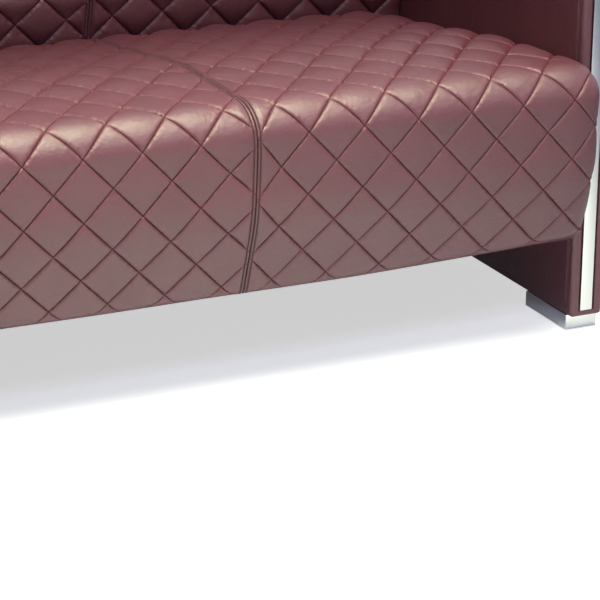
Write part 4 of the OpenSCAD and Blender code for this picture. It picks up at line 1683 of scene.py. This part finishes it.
def bevelled_copy(name, node, width, segments, material):
    """A copy of a frame node with its doubles merged and its edges eased."""
    bm = bmesh.new()
    bm.from_mesh(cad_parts[node].data)
    bmesh.ops.remove_doubles(bm, verts=bm.verts, dist=TOUCH)
    bmesh.ops.dissolve_limit(bm, angle_limit=FLAT_ANGLE, verts=bm.verts, edges=bm.edges)
    edges = [e for e in bm.edges if len(e.link_faces) == 2 and e.calc_face_angle(0) > SHARP_ANGLE]
    bmesh.ops.bevel(bm, geom=edges, offset=width, segments=segments, profile=0.5, affect="EDGES",
                    clamp_overlap=True)
    return add_object(name, smooth_mesh(name, bm, sharp=30), material)


class SOFA_OT_feet(bpy.types.Operator):
    """Chromed feet with eased edges, and the glides under them"""

    bl_idname = "sofa.feet"
    bl_label = "Feet"

    def execute(self, context):
        for end in ("front", "rear"):
            for side in ("left", "right"):
                node = f"{side}_{end}_foot"
                foot = bevelled_copy(f"{node}_chrome", node, *FOOT_BEVEL, MATERIALS["chrome"])
                finish_piece(foot, [node])
        glides = bevelled_copy("glide_pads", "foot_glides", *GLIDE_BEVEL, MATERIALS["plastic"])
        finish_piece(glides, ["foot_glides"])
        return {"FINISHED"}


class SOFA_OT_frame_finishes(bpy.types.Operator):
    """Finishes of the pieces that keep the frame's own shape"""

    bl_idname = "sofa.frame_finishes"
    bl_label = "Frame finishes"

    def execute(self, context):
        for finish, names in FRAME_FINISHES.items():
            for name in names:
                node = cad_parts[name]
                node.data.materials.clear()
                node.data.materials.append(MATERIALS[finish])
        return {"FINISHED"}


# Stage


# The camera's sensor in millimetres, how far it sees and how far the floor goes
SENSOR_WIDTH = 36
CLIP_END = 200
FLOOR_REACH = 40.0

LAMPS = {
    "top_light": dict(place=(0.14, -1.22, 2.7), target=(0.09, -1.02, 0.4), size=(1.8, 1.3), watts=32,
                      colour=(1.0, 1.0, 0.71), spread=64),
    "key_light": dict(place=(0.9, -3.2, 3.1), target=(0.3, -0.4, 0.2), size=(1.6, 0.9), watts=38,
                      colour=(0.77, 0.80, 1.0), spread=180),
}


def camera_matrix(stage):
    """The camera's place and turn, from its yaw, pitch and roll."""
    sy, cy = math.sin(stage.yaw), math.cos(stage.yaw)
    sp, cp = math.sin(stage.pitch), math.cos(stage.pitch)
    ahead = Vector((sy * cp, cy * cp, -sp))
    right = Vector((cy, -sy, 0))
    up = right.cross(ahead)
    sr, cr = math.sin(stage.roll), math.cos(stage.roll)
    turned_right = right * cr + up * sr
    turned_up = up * cr - right * sr
    matrix = Matrix((turned_right, turned_up, -ahead)).transposed().to_4x4()
    matrix.translation = Vector((SEAM_X, ARM_FRONT, 0)) + Vector(stage.place)
    return matrix


def area_lamp(name, place, target, size, watts, colour, spread):
    """A softbox that shines at the target, with a grid that holds its light to the spread in degrees."""
    light = bpy.data.lights.new(name, "AREA")
    light.spread = math.radians(spread)
    light.shape = "RECTANGLE"
    light.size, light.size_y = size
    light.energy = watts
    light.color = colour
    lamp = bpy.data.objects.new(name, light)
    lamp.location = place
    lamp.rotation_euler = (Vector(target) - Vector(place)).to_track_quat("-Z", "Y").to_euler()
    bpy.context.scene.collection.objects.link(lamp)


# The floor's colour under the lamps and its own glow to the camera and in reflections, and the
# world's colour and its strength as a light
FLOOR_COLOUR = (0.68, 0.71, 0.82, 1)
CAMERA_GLOW, GLOSSY_GLOW = 0.6, 0.05
WORLD_COLOUR = (0.94, 0.95, 1, 1)
WORLD_LIGHT = 0.11


def floor_material():
    """Pale floor that is white to the camera and in reflections, apart from the sofa's shadow."""
    material, tree, add = new_material("studio_floor", "ShaderNodeAddShader")
    diffuse = new_node(tree, "ShaderNodeBsdfDiffuse", {"Color": FLOOR_COLOUR})
    seen = new_node(tree, "ShaderNodeLightPath").outputs
    camera = maths(tree, "MULTIPLY", seen["Is Camera Ray"], CAMERA_GLOW)
    glossy = maths(tree, "MULTIPLY", seen["Is Glossy Ray"], GLOSSY_GLOW)
    glow = new_node(tree, "ShaderNodeEmission", {"Strength": maths(tree, "ADD", camera, glossy)})
    feed(tree, add, {0: diffuse.outputs["BSDF"], 1: glow.outputs["Emission"]})
    return material


def white_world():
    """A world that is white to the camera and in reflections, and dim as a light."""
    world = bpy.data.worlds.new("studio")
    world.use_nodes = True
    tree = world.node_tree
    seen = new_node(tree, "ShaderNodeLightPath").outputs
    either = maths(tree, "MAXIMUM", seen["Is Camera Ray"], seen["Is Glossy Ray"])
    feed(tree, tree.nodes["Background"], {
        "Color": WORLD_COLOUR, "Strength": ranged(tree, either, 0, 1, WORLD_LIGHT, 1.0)})
    bpy.context.scene.world = world


class SOFA_OT_stage(bpy.types.Operator):
    """Floor, lamps and camera"""

    bl_idname = "sofa.stage"
    bl_label = "Stage"

    def execute(self, context):
        stage = settings().stage
        scene = context.scene
        scene.view_settings.view_transform = "Standard"
        mesh = bpy.data.meshes.new("studio_floor")
        corners = [(x * FLOOR_REACH, y * FLOOR_REACH, 0) for x, y in ((-1, -1), (1, -1), (1, 1), (-1, 1))]
        mesh.from_pydata(corners, [], [(0, 1, 2, 3)])
        floor = add_object("studio_floor", mesh, floor_material())
        white_world()
        for name, lamp in LAMPS.items():
            area_lamp(name, **lamp)
        camera = bpy.data.cameras.new("camera")
        camera.sensor_width = SENSOR_WIDTH
        camera.lens = stage.lens
        camera.clip_end = CLIP_END
        eye = bpy.data.objects.new("camera", camera)
        eye.matrix_world = camera_matrix(stage)
        scene.collection.objects.link(eye)
        scene.camera = eye
        return {"FINISHED"}


class SOFA_PT_panel(bpy.types.Panel):
    """Sizes, colours and steps of the sofa"""

    bl_idname = "SOFA_PT_panel"
    bl_label = "Quilted sofa"
    bl_space_type = "VIEW_3D"
    bl_region_type = "UI"
    bl_category = "Sofa"

    def draw(self, context):
        layout = self.layout
        sofa = context.scene.sofa
        for group in (sofa.quilt, sofa.arm, sofa.leather, sofa.stitch, sofa.rear, sofa.dust, sofa.stage):
            for prop in group.bl_rna.properties:
                if not prop.is_readonly and prop.identifier != "name":
                    layout.prop(group, prop.identifier)
        for step in STEPS:
            layout.operator(step.bl_idname)


STEPS = (SOFA_OT_stage, SOFA_OT_frame_finishes, SOFA_OT_seat, SOFA_OT_back, SOFA_OT_arms,
         SOFA_OT_rear_panel, SOFA_OT_dust_cloths, SOFA_OT_feet)
CLASSES = (QuiltSettings, ArmSettings, LeatherSettings, StitchSettings, RearSettings, DustClothSettings,
           StageSettings, SofaSettings, *STEPS, SOFA_PT_panel)


def register():
    for cls in CLASSES:
        bpy.utils.register_class(cls)
    bpy.types.Scene.sofa = bpy.props.PointerProperty(type=SofaSettings)


def unregister():
    del bpy.types.Scene.sofa
    for cls in reversed(CLASSES):
        bpy.utils.unregister_class(cls)


def main():
    register()
    make_materials()
    bpy.ops.sofa.stage()
    bpy.ops.sofa.frame_finishes()
    bpy.ops.sofa.seat()
    bpy.ops.sofa.back()
    bpy.ops.sofa.arms()
    bpy.ops.sofa.rear_panel()
    bpy.ops.sofa.dust_cloths()
    bpy.ops.sofa.feet()


if __name__ == "__main__":
    main()
